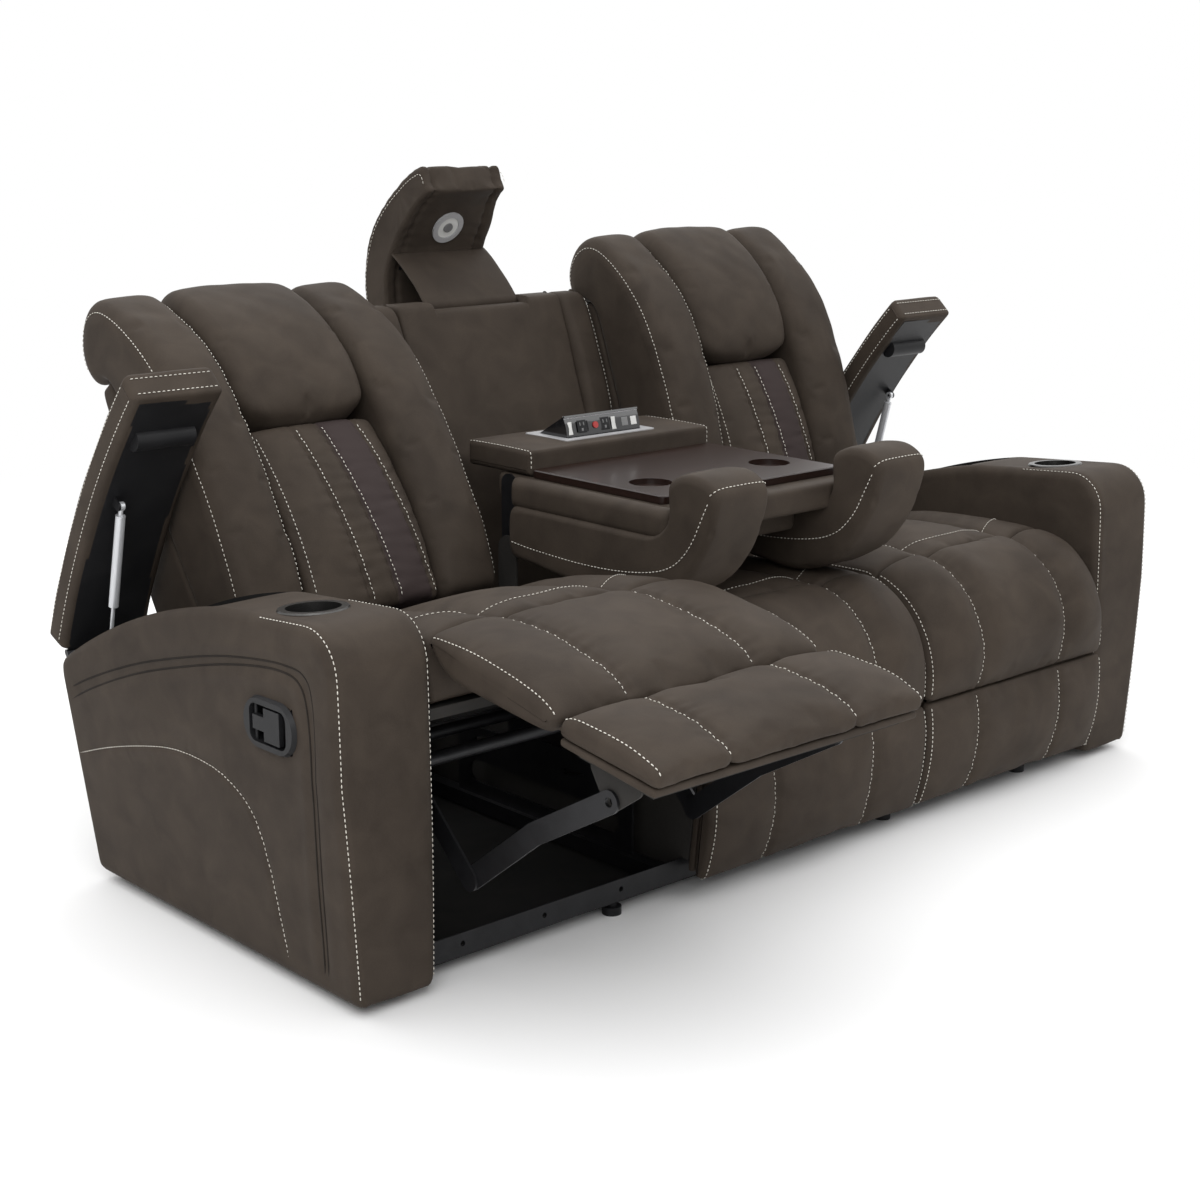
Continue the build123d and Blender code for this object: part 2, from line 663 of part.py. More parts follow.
def make_lid_hinges():
    """Fixed hinge leaves with their pins, and the lower strut bosses on the wells' outer walls."""
    leaf_angle = lid_angle(HINGE_LEAF)
    ear_foot = rim_point(RIM_REAR_ANGLE, HINGE_KNUCKLE_R)
    boss_start = STRUT_X + STRUT_EYE_THICK / 2 + LINK_GAP
    ear_middle = HINGE_LENGTH / 2 - HINGE_EAR / 2
    with BuildPart() as hinges:
        for side, _ in SIDES:
            with BuildSketch(side_plane(side * ARM_MID)):
                rim_band(RIM_REAR_ANGLE, leaf_angle, 0, HINGE_LEAF_THICK)
            extrude(amount=HINGE_LENGTH / 2, both=True)
            with BuildSketch(side_plane(side * ARM_MID - ear_middle),
                             side_plane(side * ARM_MID + ear_middle)):
                bar(LID_PIVOT, ear_foot, 2 * HINGE_KNUCKLE_R)
            extrude(amount=HINGE_EAR / 2, both=True)
            with BuildSketch(side_plane(side * ARM_MID)):
                with Locations(yz(LID_PIVOT)):
                    Circle(HINGE_PIN_R)
            extrude(amount=HINGE_LENGTH / 2, both=True)
            with BuildSketch(side_plane(side * boss_start)):
                with Locations(yz(STRUT_FOOT)):
                    Circle(STRUT_EYE_R)
            extrude(amount=side * (ARM_OUT - BIN_WALL - boss_start))
    return hinges


def strut_plane(side, along):
    """Plane square to an open strut at a distance below its upper pivot."""
    y, z = yz(STRUT_TOP_OPEN)
    run_y, run_z = cos(radians(STRUT_HEADING_OPEN)), sin(radians(STRUT_HEADING_OPEN))
    return Plane(origin=(side * STRUT_X, y + along * run_y, z + along * run_z), x_dir=(1, 0, 0),
                 z_dir=(0, run_y, run_z))


def make_strut_cylinder(side):
    """Gas strut body with its upper eye and a bore for the rod."""
    body_end = STRUT_NECK + STRUT_BODY_LENGTH
    with BuildPart() as body:
        with BuildSketch(side_plane(side * STRUT_X)):
            with Locations(yz(STRUT_TOP_OPEN)):
                Circle(STRUT_EYE_R)
        extrude(amount=STRUT_EYE_THICK / 2, both=True)
        with BuildSketch(strut_plane(side, 0)):
            Circle(STRUT_NECK_R)
        extrude(amount=STRUT_NECK)
        with BuildSketch(strut_plane(side, STRUT_NECK)):
            Circle(STRUT_BODY_R)
        extrude(amount=STRUT_BODY_LENGTH)
        with BuildSketch(strut_plane(side, body_end)):
            Circle(STRUT_ROD_R + RUN_GAP)
        extrude(amount=STRUT_BORE_STOP - STRUT_BODY_LENGTH, mode=Mode.SUBTRACT)
        with BuildSketch(side_plane(side * STRUT_X)):
            with Locations(yz(STRUT_TOP_OPEN)):
                Circle(STRUT_STUD_R + PIN_GAP)
        extrude(amount=STRUT_EYE_THICK, both=True, mode=Mode.SUBTRACT)
    return body


def make_strut_rod(side):
    """Polished rod of a gas strut with its lower eye."""
    start = STRUT_NECK + STRUT_BODY_LENGTH - STRUT_INSERT
    with BuildPart() as rod:
        with BuildSketch(strut_plane(side, start)):
            Circle(STRUT_ROD_R)
        extrude(amount=STRUT_LENGTH_OPEN - start)
        with BuildSketch(side_plane(side * STRUT_X)):
            with Locations(yz(STRUT_FOOT)):
                Circle(STRUT_EYE_R)
        extrude(amount=STRUT_EYE_THICK / 2, both=True)
        with BuildSketch(side_plane(side * STRUT_X)):
            with Locations(yz(STRUT_FOOT)):
                Circle(STRUT_STUD_R + PIN_GAP)
        extrude(amount=STRUT_EYE_THICK, both=True, mode=Mode.SUBTRACT)
    return rod


def make_base_rails():
    """Front and rear folded steel rails; the front one carries a row of fixing holes."""
    with BuildPart() as rails:
        for face, inward in ((RAIL_FRONT, 1), (RAIL_REAR, -1)):
            with BuildSketch(side_plane(0)):
                with BuildLine():
                    Polyline(yz((face, RAIL_BOTTOM)), yz((face + inward * RAIL_FLANGE, RAIL_BOTTOM)),
                             yz((face + inward * RAIL_FLANGE, RAIL_TOP)),
                             yz((face + inward * RAIL_THICK, RAIL_TOP)),
                             yz((face + inward * RAIL_THICK, RAIL_BOTTOM + RAIL_HEIGHT)),
                             yz((face, RAIL_BOTTOM + RAIL_HEIGHT)), close=True)
                make_face()
            extrude(amount=ARM_IN, both=True)
        with BuildSketch(Plane.XZ.offset(-ARM_FRONT_Y - RAIL_FRONT)):
            with Locations((0, (RAIL_TOP + RAIL_BOTTOM + RAIL_HEIGHT) / 2)):
                with GridLocations(RAIL_HOLE_PITCH, 0, RAIL_HOLES, 1):
                    Circle(RAIL_HOLE_R)
        extrude(amount=-RAIL_THICK, mode=Mode.SUBTRACT)
    return rails


def make_cross_rails():
    """Square tubes that lie on the rails' flanges under the recliners' base plates."""
    front = RAIL_FRONT + RAIL_THICK + SOFT_GAP
    rear = RAIL_REAR - RAIL_THICK - SOFT_GAP
    with BuildPart() as rails:
        for side, _ in SIDES:
            for offset in (-1, 1):
                with BuildSketch(side_plane(side * SEAT_CENTRE + offset * (BASE_PLATE_S - PLATE_THICK / 2))):
                    with BuildLine():
                        Polyline(yz((front, RAIL_TOP)), yz((rear, RAIL_TOP)), yz((rear, CROSS_TOP)),
                                 yz((front, CROSS_TOP)), close=True)
                    make_face()
                extrude(amount=CROSS_WIDTH / 2, both=True)
    return rails


def make_base_plates():
    """Upright plates of the recliners, with the inclined slots that guide the seat forward."""
    front = SLOT_PIN_FRONT[0] + GLIDE[0] - BASE_END
    rear = SLOT_PIN_REAR[0] + BASE_END
    front_top = SLOT_PIN_FRONT[1] + GLIDE[1] + BASE_TOP_MARGIN + SLOT_PIN_R
    rear_top = SLOT_PIN_REAR[1] + BASE_TOP_MARGIN + SLOT_PIN_R
    window_z = (CROSS_TOP + SLOT_PIN_REAR[1] - BASE_TOP_MARGIN) / 2
    window_front = (front + BASE_WINDOW_END, window_z)
    window_rear = (rear - BASE_WINDOW_END, window_z)
    with BuildPart() as plates:
        for side, _ in SIDES:
            for offset in (-1, 1):
                with BuildSketch(side_plane(side * SEAT_CENTRE + offset * BASE_PLATE_S)):
                    with BuildLine():
                        Polyline(yz((front, CROSS_TOP)), yz((rear, CROSS_TOP)), yz((rear, rear_top)),
                                 yz((front, front_top)), close=True)
                    make_face()
                    for pin in (SLOT_PIN_FRONT, SLOT_PIN_REAR):
                        stop = (pin[0] + GLIDE[0], pin[1] + GLIDE[1])
                        bar(pin, stop, 2 * (SLOT_PIN_R + RUN_GAP), Mode.SUBTRACT)
                    bar(window_front, window_rear, BASE_WINDOW, Mode.SUBTRACT)
                extrude(amount=-offset * PLATE_THICK)
    return plates


def make_feet():
    """Round glides under the rails and the arms."""
    arm_x = ARM_MID - ARM_LEAN / 2
    rail_places = [(x, RAIL_FRONT + RAIL_FLANGE / 2) for x in FRONT_FEET_X]
    rail_places += [(x, RAIL_REAR - RAIL_FLANGE / 2) for x in REAR_FEET_X]
    arm_places = [(side * arm_x, depth) for side, _ in SIDES for depth in ARM_FEET_DEPTH]
    with BuildPart() as feet:
        with BuildSketch():
            with Locations(*[(x, ARM_FRONT_Y + depth) for x, depth in rail_places]):
                Circle(FOOT_R)
        extrude(amount=FOOT_PAD_HEIGHT)
        with BuildSketch():
            with Locations(*[(x, ARM_FRONT_Y + depth) for x, depth in rail_places]):
                Circle(FOOT_STEM_R)
        extrude(amount=RAIL_BOTTOM)
        with BuildSketch():
            with Locations(*[(x, ARM_FRONT_Y + depth) for x, depth in arm_places]):
                Circle(FOOT_R)
        extrude(amount=ARM_BOTTOM)
    return feet


def carriage_pose(opened):
    """Pose of a seat's sliding side plates for an opening from 0 (closed) to 1 (extended)."""
    return Pos(0, opened * GLIDE[0], opened * GLIDE[1])


def seat_pose(opened):
    """Pose of the seat, which tips up at the front as it slides."""
    return carriage_pose(opened) * turned(SEAT_PIVOT, -opened * SEAT_TILT)


def thigh_pose(opened):
    """Pose of the thigh pad, which swings up from the front of the seat."""
    return seat_pose(opened) * turned(THIGH_TOP, -opened * THIGH_TURN)


def footrest_pose(opened, seam):
    """Pose of the footrest, which unfolds from the seam at the foot of the thigh pad."""
    return thigh_pose(opened) * turned(seam, -opened * FOOTREST_TURN)


def back_pose(opened, tilt):
    """Pose of a back's own axes, leaning rearwards about its pivot on the sliding plates."""
    y, z = yz(BACK_PIVOT)
    return carriage_pose(opened) * Pos(0, y, z) * Rot(X=-tilt)


def knee_place(opened, seam):
    """Where the drive and lift links meet, as (depth, height)."""
    start = carried(carriage_pose(opened), DRIVE_PIVOT)
    end = carried(footrest_pose(opened, seam), FOOT_PIVOT)
    drive = reach(DRIVE_PIVOT, KNEE_CLOSED)
    lift = reach(KNEE_CLOSED, FOOT_PIVOT)
    span = reach(start, end)
    along = (drive ** 2 - lift ** 2 + span ** 2) / (2 * span)
    aside = sqrt(drive ** 2 - along ** 2)
    run_y, run_z = (end[0] - start[0]) / span, (end[1] - start[1]) / span
    return (start[0] + along * run_y - aside * run_z, start[1] + along * run_z + aside * run_y)


def drive_turn(opened, seam):
    """Turn of the drive links from closed, in degrees."""
    now = heading(carried(carriage_pose(opened), DRIVE_PIVOT), knee_place(opened, seam))
    return now - heading(DRIVE_PIVOT, KNEE_CLOSED)


def lift_turn(opened, seam):
    """Turn of the lift links on the drive links from closed, in degrees."""
    now = heading(knee_place(opened, seam), carried(footrest_pose(opened, seam), FOOT_PIVOT))
    turn = now - heading(KNEE_CLOSED, FOOT_PIVOT) - drive_turn(opened, seam)
    return (turn + HALF_TURN) % (2 * HALF_TURN) - HALF_TURN


def drive_pose(opened, seam):
    """Pose of the drive links on the sliding plates."""
    return carriage_pose(opened) * turned(DRIVE_PIVOT, drive_turn(opened, seam))


def lift_pose(opened, seam):
    """Pose of the lift links on the drive links."""
    return drive_pose(opened, seam) * turned(KNEE_CLOSED, lift_turn(opened, seam))


def make_seat_frame(side, opened):
    """Sliding side plates built up from bars, joined by two cross tubes, with guide and pivot pins."""
    pose = carriage_pose(opened)
    centre = side * SEAT_CENTRE
    with BuildPart() as seat_frame:
        for offset in (-1, 1):
            with BuildSketch(side_plane(centre + offset * CARRIAGE_S, pose)):
                bar(DRIVE_PIVOT, SEAT_PIVOT, BAR_WIDTH)
                bar(SEAT_PIVOT, BACK_PIVOT, BAR_WIDTH)
                bar(DRIVE_PIVOT, SLOT_PIN_FRONT, BAR_WIDTH)
                bar(SLOT_PIN_FRONT, SLOT_PIN_REAR, BAR_WIDTH)
                bar(SLOT_PIN_REAR, SEAT_PIVOT, BAR_WIDTH)
                for tube in TUBE_AT:
                    bar(tube, SLOT_PIN_REAR, BAR_WIDTH)
                holes((DRIVE_PIVOT,), TUBE_R + RUN_GAP)
            extrude(amount=-offset * PLATE_THICK)
            with BuildSketch(side_plane(centre + offset * (CARRIAGE_S - PLATE_THICK / 2), pose)):
                with Locations(yz(SLOT_PIN_FRONT), yz(SLOT_PIN_REAR)):
                    Circle(SLOT_PIN_R)
                with Locations(yz(BACK_PIVOT)):
                    Circle(PIVOT_R)
            extrude(amount=offset * (PLATE_THICK / 2 + LINK_GAP + PLATE_THICK + LINK_GAP))
            with BuildSketch(side_plane(centre + offset * (CARRIAGE_S - PLATE_THICK / 2), pose)):
                with Locations(yz(SEAT_PIVOT)):
                    Circle(PIVOT_R)
            extrude(amount=-offset * (PLATE_THICK / 2 + LINK_GAP + PLATE_THICK))
        with BuildSketch(side_plane(centre, pose)):
            with Locations(*[yz(tube) for tube in TUBE_AT]):
                Circle(TUBE_R)
        extrude(amount=CARRIAGE_S - PLATE_THICK / 2, both=True)
    return seat_frame


def make_seat_pan(side, opened):
    """Slatted seat board with two tabs that hang on the sliding plates' pivots."""
    pose = seat_pose(opened)
    centre = side * SEAT_CENTRE
    slot_front, slot_rear = PAN_FRONT + PAN_RIM, PAN_REAR - PAN_RIM
    tab_top = (SEAT_PIVOT[0], PAN_BOTTOM + PAN_THICK - TAB_WIDTH / 2)
    with BuildPart() as pan:
        with BuildSketch(side_plane(centre, pose)):
            with BuildLine():
                Polyline(yz((PAN_FRONT, PAN_BOTTOM)), yz((PAN_REAR, PAN_BOTTOM)),
                         yz((PAN_REAR, PAN_BOTTOM + PAN_THICK)), yz((PAN_FRONT, PAN_BOTTOM + PAN_THICK)),
                         close=True)
            make_face()
        extrude(amount=PAD_HALF, both=True)
        for offset in (-1, 0, 1):
            with BuildSketch(side_plane(centre + offset * PAN_SLOT_PITCH, pose)):
                with BuildLine():
                    Polyline(yz((slot_front, PAN_BOTTOM)), yz((slot_rear, PAN_BOTTOM)),
                             yz((slot_rear, PAN_BOTTOM + PAN_THICK)),
                             yz((slot_front, PAN_BOTTOM + PAN_THICK)), close=True)
                make_face()
            extrude(amount=PAN_SLOT_WIDTH / 2, both=True, mode=Mode.SUBTRACT)
        for offset in (-1, 1):
            with BuildSketch(side_plane(centre + offset * DRIVE_S, pose)):
                bar(SEAT_PIVOT, tab_top, TAB_WIDTH)
                holes((SEAT_PIVOT,), PIVOT_R + PIN_GAP)
            extrude(amount=-offset * PLATE_THICK)
    return pan


def make_drive_links(side, opened, seam):
    """Torque tube across the seat with a crank at each end."""
    pose = drive_pose(opened, seam)
    centre = side * SEAT_CENTRE
    with BuildPart() as links:
        with BuildSketch(side_plane(centre, pose)):
            with Locations(yz(DRIVE_PIVOT)):
                Circle(TUBE_R)
        extrude(amount=CARRIAGE_S + LINK_GAP, both=True)
        for offset in (-1, 1):
            with BuildSketch(side_plane(centre + offset * DRIVE_S, pose)):
                bar(DRIVE_PIVOT, KNEE_CLOSED, BAR_WIDTH)
                holes((KNEE_CLOSED,), PIVOT_R + PIN_GAP)
            extrude(amount=-offset * PLATE_THICK)
    return links


def make_lift_links(side, opened, seam):
    """Cranked bars from the knee to the footrest, with the knee pins."""
    pose = lift_pose(opened, seam)
    centre = side * SEAT_CENTRE
    bend = bulge_point(KNEE_CLOSED, FOOT_PIVOT, LIFT_BEND)
    with BuildPart() as links:
        for offset in (-1, 1):
            with BuildSketch(side_plane(centre + offset * LIFT_S, pose)):
                bar(KNEE_CLOSED, bend, BAR_WIDTH)
                bar(bend, FOOT_PIVOT, BAR_WIDTH)
                holes((FOOT_PIVOT,), PIVOT_R)
            extrude(amount=-offset * PLATE_THICK)
            with BuildSketch(side_plane(centre + offset * LIFT_S, pose)):
                with Locations(yz(KNEE_CLOSED)):
                    Circle(PIVOT_R)
            extrude(amount=offset * (LINK_GAP + PLATE_THICK))
    return links


def seat_outline(rear, crown):
    """Side outline of a seat cushion with a given rear end and crown, as a function of fullness."""
    def outline(fullness):
        drop = (1 - fullness) * SEAT_DRAW
        front_top, rear_top = yz((SEAT_FRONT, SEAT_FRONT_Z - drop)), yz((rear, SEAT_REAR_Z - drop))
        front_low, rear_low = yz((SEAT_FRONT, CUSHION_TOP_GAP)), yz((rear, CUSHION_TOP_GAP))
        Line(front_low, rear_low)
        Line(rear_low, rear_top)
        ThreePointArc(rear_top, bulge_point(rear_top, front_top, crown * fullness), front_top)
        Line(front_top, front_low)
    return outline


def thigh_outline(seam, bulge):
    """Side outline of the pad between the seat and the footrest, as a function of fullness."""
    def outline(fullness):
        top, foot, heel = yz(THIGH_TOP), yz(seam), yz(THIGH_HEEL)
        inner = yz((seam[0] + SEAM_THICK, seam[1]))
        ThreePointArc(top, bulge_point(top, foot, bulge * fullness), foot)
        Line(foot, inner)
        Line(inner, heel)
        Line(heel, top)
    return outline


def footrest_outline(seam, toe):
    """Side outline of the footrest's pad from a seam to a toe, as a function of fullness."""
    def outline(fullness):
        top, tip = yz((seam[0], seam[1] - SEAM_GAP)), yz(toe)
        inner_top = yz((seam[0] + SEAM_THICK, seam[1] - SEAM_GAP))
        inner_tip = yz((toe[0] + FOOTREST_THICK, toe[1]))
        ThreePointArc(top, bulge_point(top, tip, FOOTREST_BULGE * fullness), tip)
        Line(tip, inner_tip)
        Line(inner_tip, inner_top)
        Line(inner_top, top)
    return outline


def footrest_back(height, seam, toe):
    """Point on the flat rear face of the footrest's pad at a height."""
    low = (toe[0] + FOOTREST_THICK, toe[1])
    high = (seam[0] + SEAM_THICK, seam[1] - SEAM_GAP)
    share = (height - low[1]) / (high[1] - low[1])
    return (low[0] + share * (high[0] - low[0]), height)


def make_footrest_board(side, opened, seam, toe):
    """Backing board of the footrest with the two brackets the lift links push on."""
    pose = footrest_pose(opened, seam)
    centre = side * SEAT_CENTRE
    low = footrest_back(toe[1] + BOARD_MARGIN, seam, toe)
    high = footrest_back(seam[1] - SEAM_GAP - BOARD_MARGIN, seam, toe)
    stem = BOARD_THICK + BRACKET_WIDTH / 2 - RUN_GAP
    bracket_low = (footrest_back(BRACKET_LOW_Z, seam, toe)[0] + stem, BRACKET_LOW_Z)
    bracket_high = (high[0] + stem, high[1] - BRACKET_WIDTH / 2)
    with BuildPart() as board:
        with BuildSketch(side_plane(centre, pose)):
            with BuildLine():
                Polyline(yz((low[0] + SOFT_GAP, low[1])), yz((low[0] + SOFT_GAP + BOARD_THICK, low[1])),
                         yz((high[0] + SOFT_GAP + BOARD_THICK, high[1])), yz((high[0] + SOFT_GAP, high[1])),
                         close=True)
            make_face()
        extrude(amount=PAD_HALF - BOARD_MARGIN, both=True)
        for offset in (-1, 1):
            with BuildSketch(side_plane(centre + offset * BRACKET_S, pose)):
                bar(bracket_low, bracket_high, BRACKET_WIDTH)
                bar(bracket_high, FOOT_PIVOT, BRACKET_WIDTH)
                bar(bracket_low, FOOT_PIVOT, BRACKET_WIDTH)
                holes((FOOT_PIVOT,), PIVOT_R)
            extrude(amount=-offset * PLATE_THICK)
    return board


def make_back_frame(side, opened, tilt):
    """Upholstered back shell with the ears that hang on the sliding plates."""
    pose = back_pose(opened, tilt)
    centre = side * SEAT_CENTRE
    low, high = (FRAME_REAR, FRAME_BOTTOM), (FRAME_REAR, FRAME_TOP)
    with BuildPart() as shell:
        with BuildSketch(side_plane(centre, pose)):
            with BuildLine():
                Polyline(high, (FRAME_FRONT, FRAME_TOP), (FRAME_FRONT, FRAME_BOTTOM), low)
                ThreePointArc(low, bulge_point(low, high, FRAME_BOW), high)
            make_face()
        extrude(amount=PAD_HALF - FRAME_MARGIN, both=True)
        for offset in (-1, 1):
            with BuildSketch(side_plane(centre + offset * BACK_EAR_S, pose)):
                with Locations((FRAME_FRONT / 2, 0)):
                    SlotCenterToCenter(FRAME_FRONT, EAR_WIDTH)
                Circle(PIVOT_R + PIN_GAP, mode=Mode.SUBTRACT)
            extrude(amount=-offset * PLATE_THICK)
    return shell


def bolster_outline(fullness):
    """Side outline of a back's upright bolster, rolled over the top of the shell."""
    draw = (1 - fullness) * PAD_DRAW
    low, shoulder = (BOLSTER_LOW + draw, PAD_BOTTOM), (SHOULDER[0] + draw, SHOULDER[1])
    crest = (CREST[0], CREST[1] - draw)
    roll = (ROLL_REAR[0] - draw / 2, ROLL_REAR[1] - draw / 2)
    Line((PAD_REAR, PAD_BOTTOM), low)
    ThreePointArc(low, bulge_point(low, shoulder, BOLSTER_FRONT_RISE), shoulder)
    ThreePointArc(shoulder, bulge_point(shoulder, crest, -BOLSTER_CROWN), crest)
    ThreePointArc(crest, roll, ROLL_UNDER)
    Line(ROLL_UNDER, (PAD_REAR, ROLL_UNDER[1]))
    Line((PAD_REAR, ROLL_UNDER[1]), (PAD_REAR, PAD_BOTTOM))


def lumbar_outline(fullness):
    """Side outline of a back's lower middle cushion."""
    draw = (1 - fullness) * PAD_DRAW
    low, high = (LUMBAR_FRONT + draw, PAD_BOTTOM), (LUMBAR_FRONT + draw, PILLOW_BOTTOM - SEAM_GAP)
    Line((PAD_REAR, PAD_BOTTOM), low)
    ThreePointArc(low, bulge_point(low, high, -LUMBAR_BULGE), high)
    Line(high, (PAD_REAR, high[1]))
    Line((PAD_REAR, high[1]), (PAD_REAR, PAD_BOTTOM))


def pillow_outline(fullness):
    """Side outline of a back's head pillow, rolled over the top of the shell."""
    draw = (1 - fullness) * PAD_DRAW
    low, crest = (PILLOW_FRONT + draw, PILLOW_BOTTOM), (CREST[0], CREST[1] + PILLOW_RISE - draw)
    roll = (ROLL_REAR[0] - draw / 2, ROLL_REAR[1] - draw / 2)
    Line((PAD_REAR, PILLOW_BOTTOM), low)
    ThreePointArc(low, bulge_point(low, crest, -PILLOW_BULGE), crest)
    ThreePointArc(crest, roll, ROLL_UNDER)
    Line(ROLL_UNDER, (PAD_REAR, ROLL_UNDER[1]))
    Line((PAD_REAR, ROLL_UNDER[1]), (PAD_REAR, PILLOW_BOTTOM))


def make_bolsters(side, opened, tilt):
    """The two upright bolsters of a back."""
    pose = back_pose(opened, tilt)
    with BuildPart() as bolsters:
        for offset in (-1, 1):
            for offset_x, fullness in plain_stations(BOLSTER_SPLIT, PAD_HALF):
                with BuildSketch(side_plane(side * SEAT_CENTRE + offset * offset_x, pose)):
                    with BuildLine():
                        bolster_outline(fullness)
                    make_face()
            loft()
    return bolsters


def make_centre_front_pads():
    """Fixed front pads of the centre seat, shaped like the closed recliners' pads."""
    with BuildPart() as pads:
        for outline in (thigh_outline(SHUT_SEAM, SHUT_BULGE), footrest_outline(SHUT_SEAM, SHUT_TOE)):
            for offset_x, fullness in channel_stations(CENTRE_PAD_HALF, CHANNEL_OFFSET):
                with BuildSketch(side_plane(offset_x)):
                    with BuildLine():
                        outline(fullness)
                    make_face()
            loft()
    return pads


def make_centre_seat_deck():
    """Centre seat's box: a top board, two side boards on the rails and the console's steel posts."""
    side_front = RAIL_FRONT + RAIL_THICK + SOFT_GAP
    rail_clear = RAIL_REAR - RAIL_FLANGE - SOFT_GAP
    rail_over = RAIL_BOTTOM + RAIL_HEIGHT + SOFT_GAP
    board_top = PAN_BOTTOM + PAN_THICK
    toe, knee = (footrest_back(height, SHUT_SEAM, SHUT_TOE)
                 for height in (rail_over, SHUT_SEAM[1] - SEAM_GAP))
    lean = (THIGH_HEEL[0] - SHUT_SEAM[0] - SEAM_THICK) / (THIGH_HEEL[1] - SHUT_SEAM[1])
    nose = SHUT_SEAM[0] + SEAM_THICK + (PAN_BOTTOM - SHUT_SEAM[1]) * lean
    with BuildPart() as deck:
        with BuildSketch(side_plane(0)):
            with BuildLine():
                Polyline(yz((PAN_FRONT, PAN_BOTTOM)), yz((DECK_REAR, PAN_BOTTOM)), yz((DECK_REAR, board_top)),
                         yz((PAN_FRONT, board_top)), close=True)
            make_face()
        extrude(amount=CENTRE_HALF - DECK_MARGIN, both=True)
        for offset in (-1, 1):
            with BuildSketch(side_plane(offset * (CENTRE_HALF - DECK_MARGIN))):
                with BuildLine():
                    Polyline(yz((side_front, RAIL_TOP)), yz((rail_clear, RAIL_TOP)),
                             yz((rail_clear, rail_over)), yz((PANEL_KNEE[0], rail_over)),
                             yz((PANEL_KNEE[0], PAN_BOTTOM)),
                             yz((nose + SEAT_PAD_GAP, PAN_BOTTOM)), yz((knee[0] + SEAT_PAD_GAP, knee[1])),
                             yz((toe[0] + SEAT_PAD_GAP, rail_over)), yz((side_front, rail_over)), close=True)
                make_face()
            extrude(amount=-offset * DECK_SIDE)
            with BuildSketch(side_plane(offset * POST_X)):
                bar((CONSOLE_PIVOT[0], board_top + POST_WIDTH / 2), CONSOLE_PIVOT, POST_WIDTH)
            extrude(amount=offset * POST_THICK)
            with BuildSketch(side_plane(offset * POST_X)):
                with Locations(yz(CONSOLE_PIVOT)):
                    Circle(PIVOT_R)
            extrude(amount=-offset * (POST_THICK + LINK_GAP))
    return deck


def make_centre_back_panel():
    """Fixed upholstered panel behind the centre seat, notched at the top for the headrest's tube."""
    (top_y, top_z), (knee_y, knee_z) = PANEL_TOP_FRONT, PANEL_KNEE
    with BuildPart() as panel:
        with BuildSketch(side_plane(0)):
            with BuildLine():
                Polyline(yz((top_y, top_z)), yz((knee_y, knee_z)), yz((knee_y, PANEL_BOTTOM)),
                         yz((knee_y + PANEL_THICK, PANEL_BOTTOM)), yz((knee_y + PANEL_THICK, knee_z)),
                         yz((top_y + PANEL_THICK, top_z)), close=True)
            make_face()
        extrude(amount=CENTRE_HALF - PANEL_MARGIN, both=True)
        with BuildSketch(side_plane(0)):
            with BuildLine():
                Polyline(yz((knee_y, top_z)), yz((knee_y, top_z - NOTCH_DEEP)),
                         yz((top_y + 2 * PANEL_THICK, top_z - NOTCH_DEEP)),
                         yz((top_y + 2 * PANEL_THICK, top_z)), close=True)
            make_face()
        extrude(amount=NOTCH_HALF, both=True, mode=Mode.SUBTRACT)
    return panel


def make_headrest_tube():
    """Steel tube across the panel's notch that the headrest turns on."""
    with BuildPart() as tube:
        with BuildSketch(side_plane(0)):
            with Locations(yz(HEADREST_HINGE)):
                Circle(HEADREST_TUBE_R)
        extrude(amount=NOTCH_HALF, both=True)
    return tube


def make_console_core():
    """Upholstered middle of the folded console: a flat slab with a pad on its underside."""
    with BuildPart() as core:
        with BuildSketch(side_plane(0)):
            with BuildLine():
                Polyline(yz((CORE_FRONT, CORE_BOTTOM)), yz((CORE_REAR, CORE_BOTTOM)),
                         yz((CORE_REAR, CORE_TOP)), yz((CORE_FRONT, CORE_TOP)), close=True)
            make_face()
        extrude(amount=CORE_HALF, both=True)
        with BuildSketch(side_plane(0)):
            with BuildLine():
                Polyline(yz((CORE_PAD_FRONT, CORE_BOTTOM)), yz((CORE_PAD_FRONT, CORE_BOTTOM - CORE_PAD_DROP)),
                         yz((WING_REAR, CORE_BOTTOM - CORE_PAD_DROP)), yz((WING_REAR, CORE_BOTTOM)),
                         close=True)
            make_face()
        extrude(amount=WING_INNER - SEAT_GAP, both=True)
    return core


def wing_outline(fullness):
    """Side outline of the console's bolster, whose front end curls up past the tray."""
    draw = (1 - fullness) * WING_DRAW
    rear_low, rear_top = yz((WING_REAR, WING_BOTTOM + draw)), yz((WING_REAR, CORE_BOTTOM - SOFT_GAP))
    under = yz((CORE_FRONT - SOFT_GAP, CORE_BOTTOM - SOFT_GAP))
    heel, inner = yz(CURL_HEEL), yz((CURL_INNER[0], CURL_INNER[1] - draw))
    tip = yz((CURL_TIP[0] + draw / 2, CURL_TIP[1] - draw))
    front = yz((CURL_FRONT[0] + draw, CURL_FRONT[1]))
    low = yz((CURL_LOW[0], CURL_LOW[1] + draw))
    Line(rear_low, rear_top)
    Line(rear_top, under)
    Line(under, heel)
    Line(heel, inner)
    ThreePointArc(inner, bulge_point(inner, tip, CURL_CROWN), tip)
    ThreePointArc(tip, front, low)
    Line(low, rear_low)


def make_console_bolsters():
    """The two bolsters of the folded console."""
    with BuildPart() as bolsters:
        for offset in (-1, 1):
            for offset_x, fullness in plain_stations(WING_INNER, WING_OUTER):
                with BuildSketch(side_plane(offset * offset_x)):
                    with BuildLine():
                        wing_outline(fullness)
                    make_face()
            loft()
    return bolsters


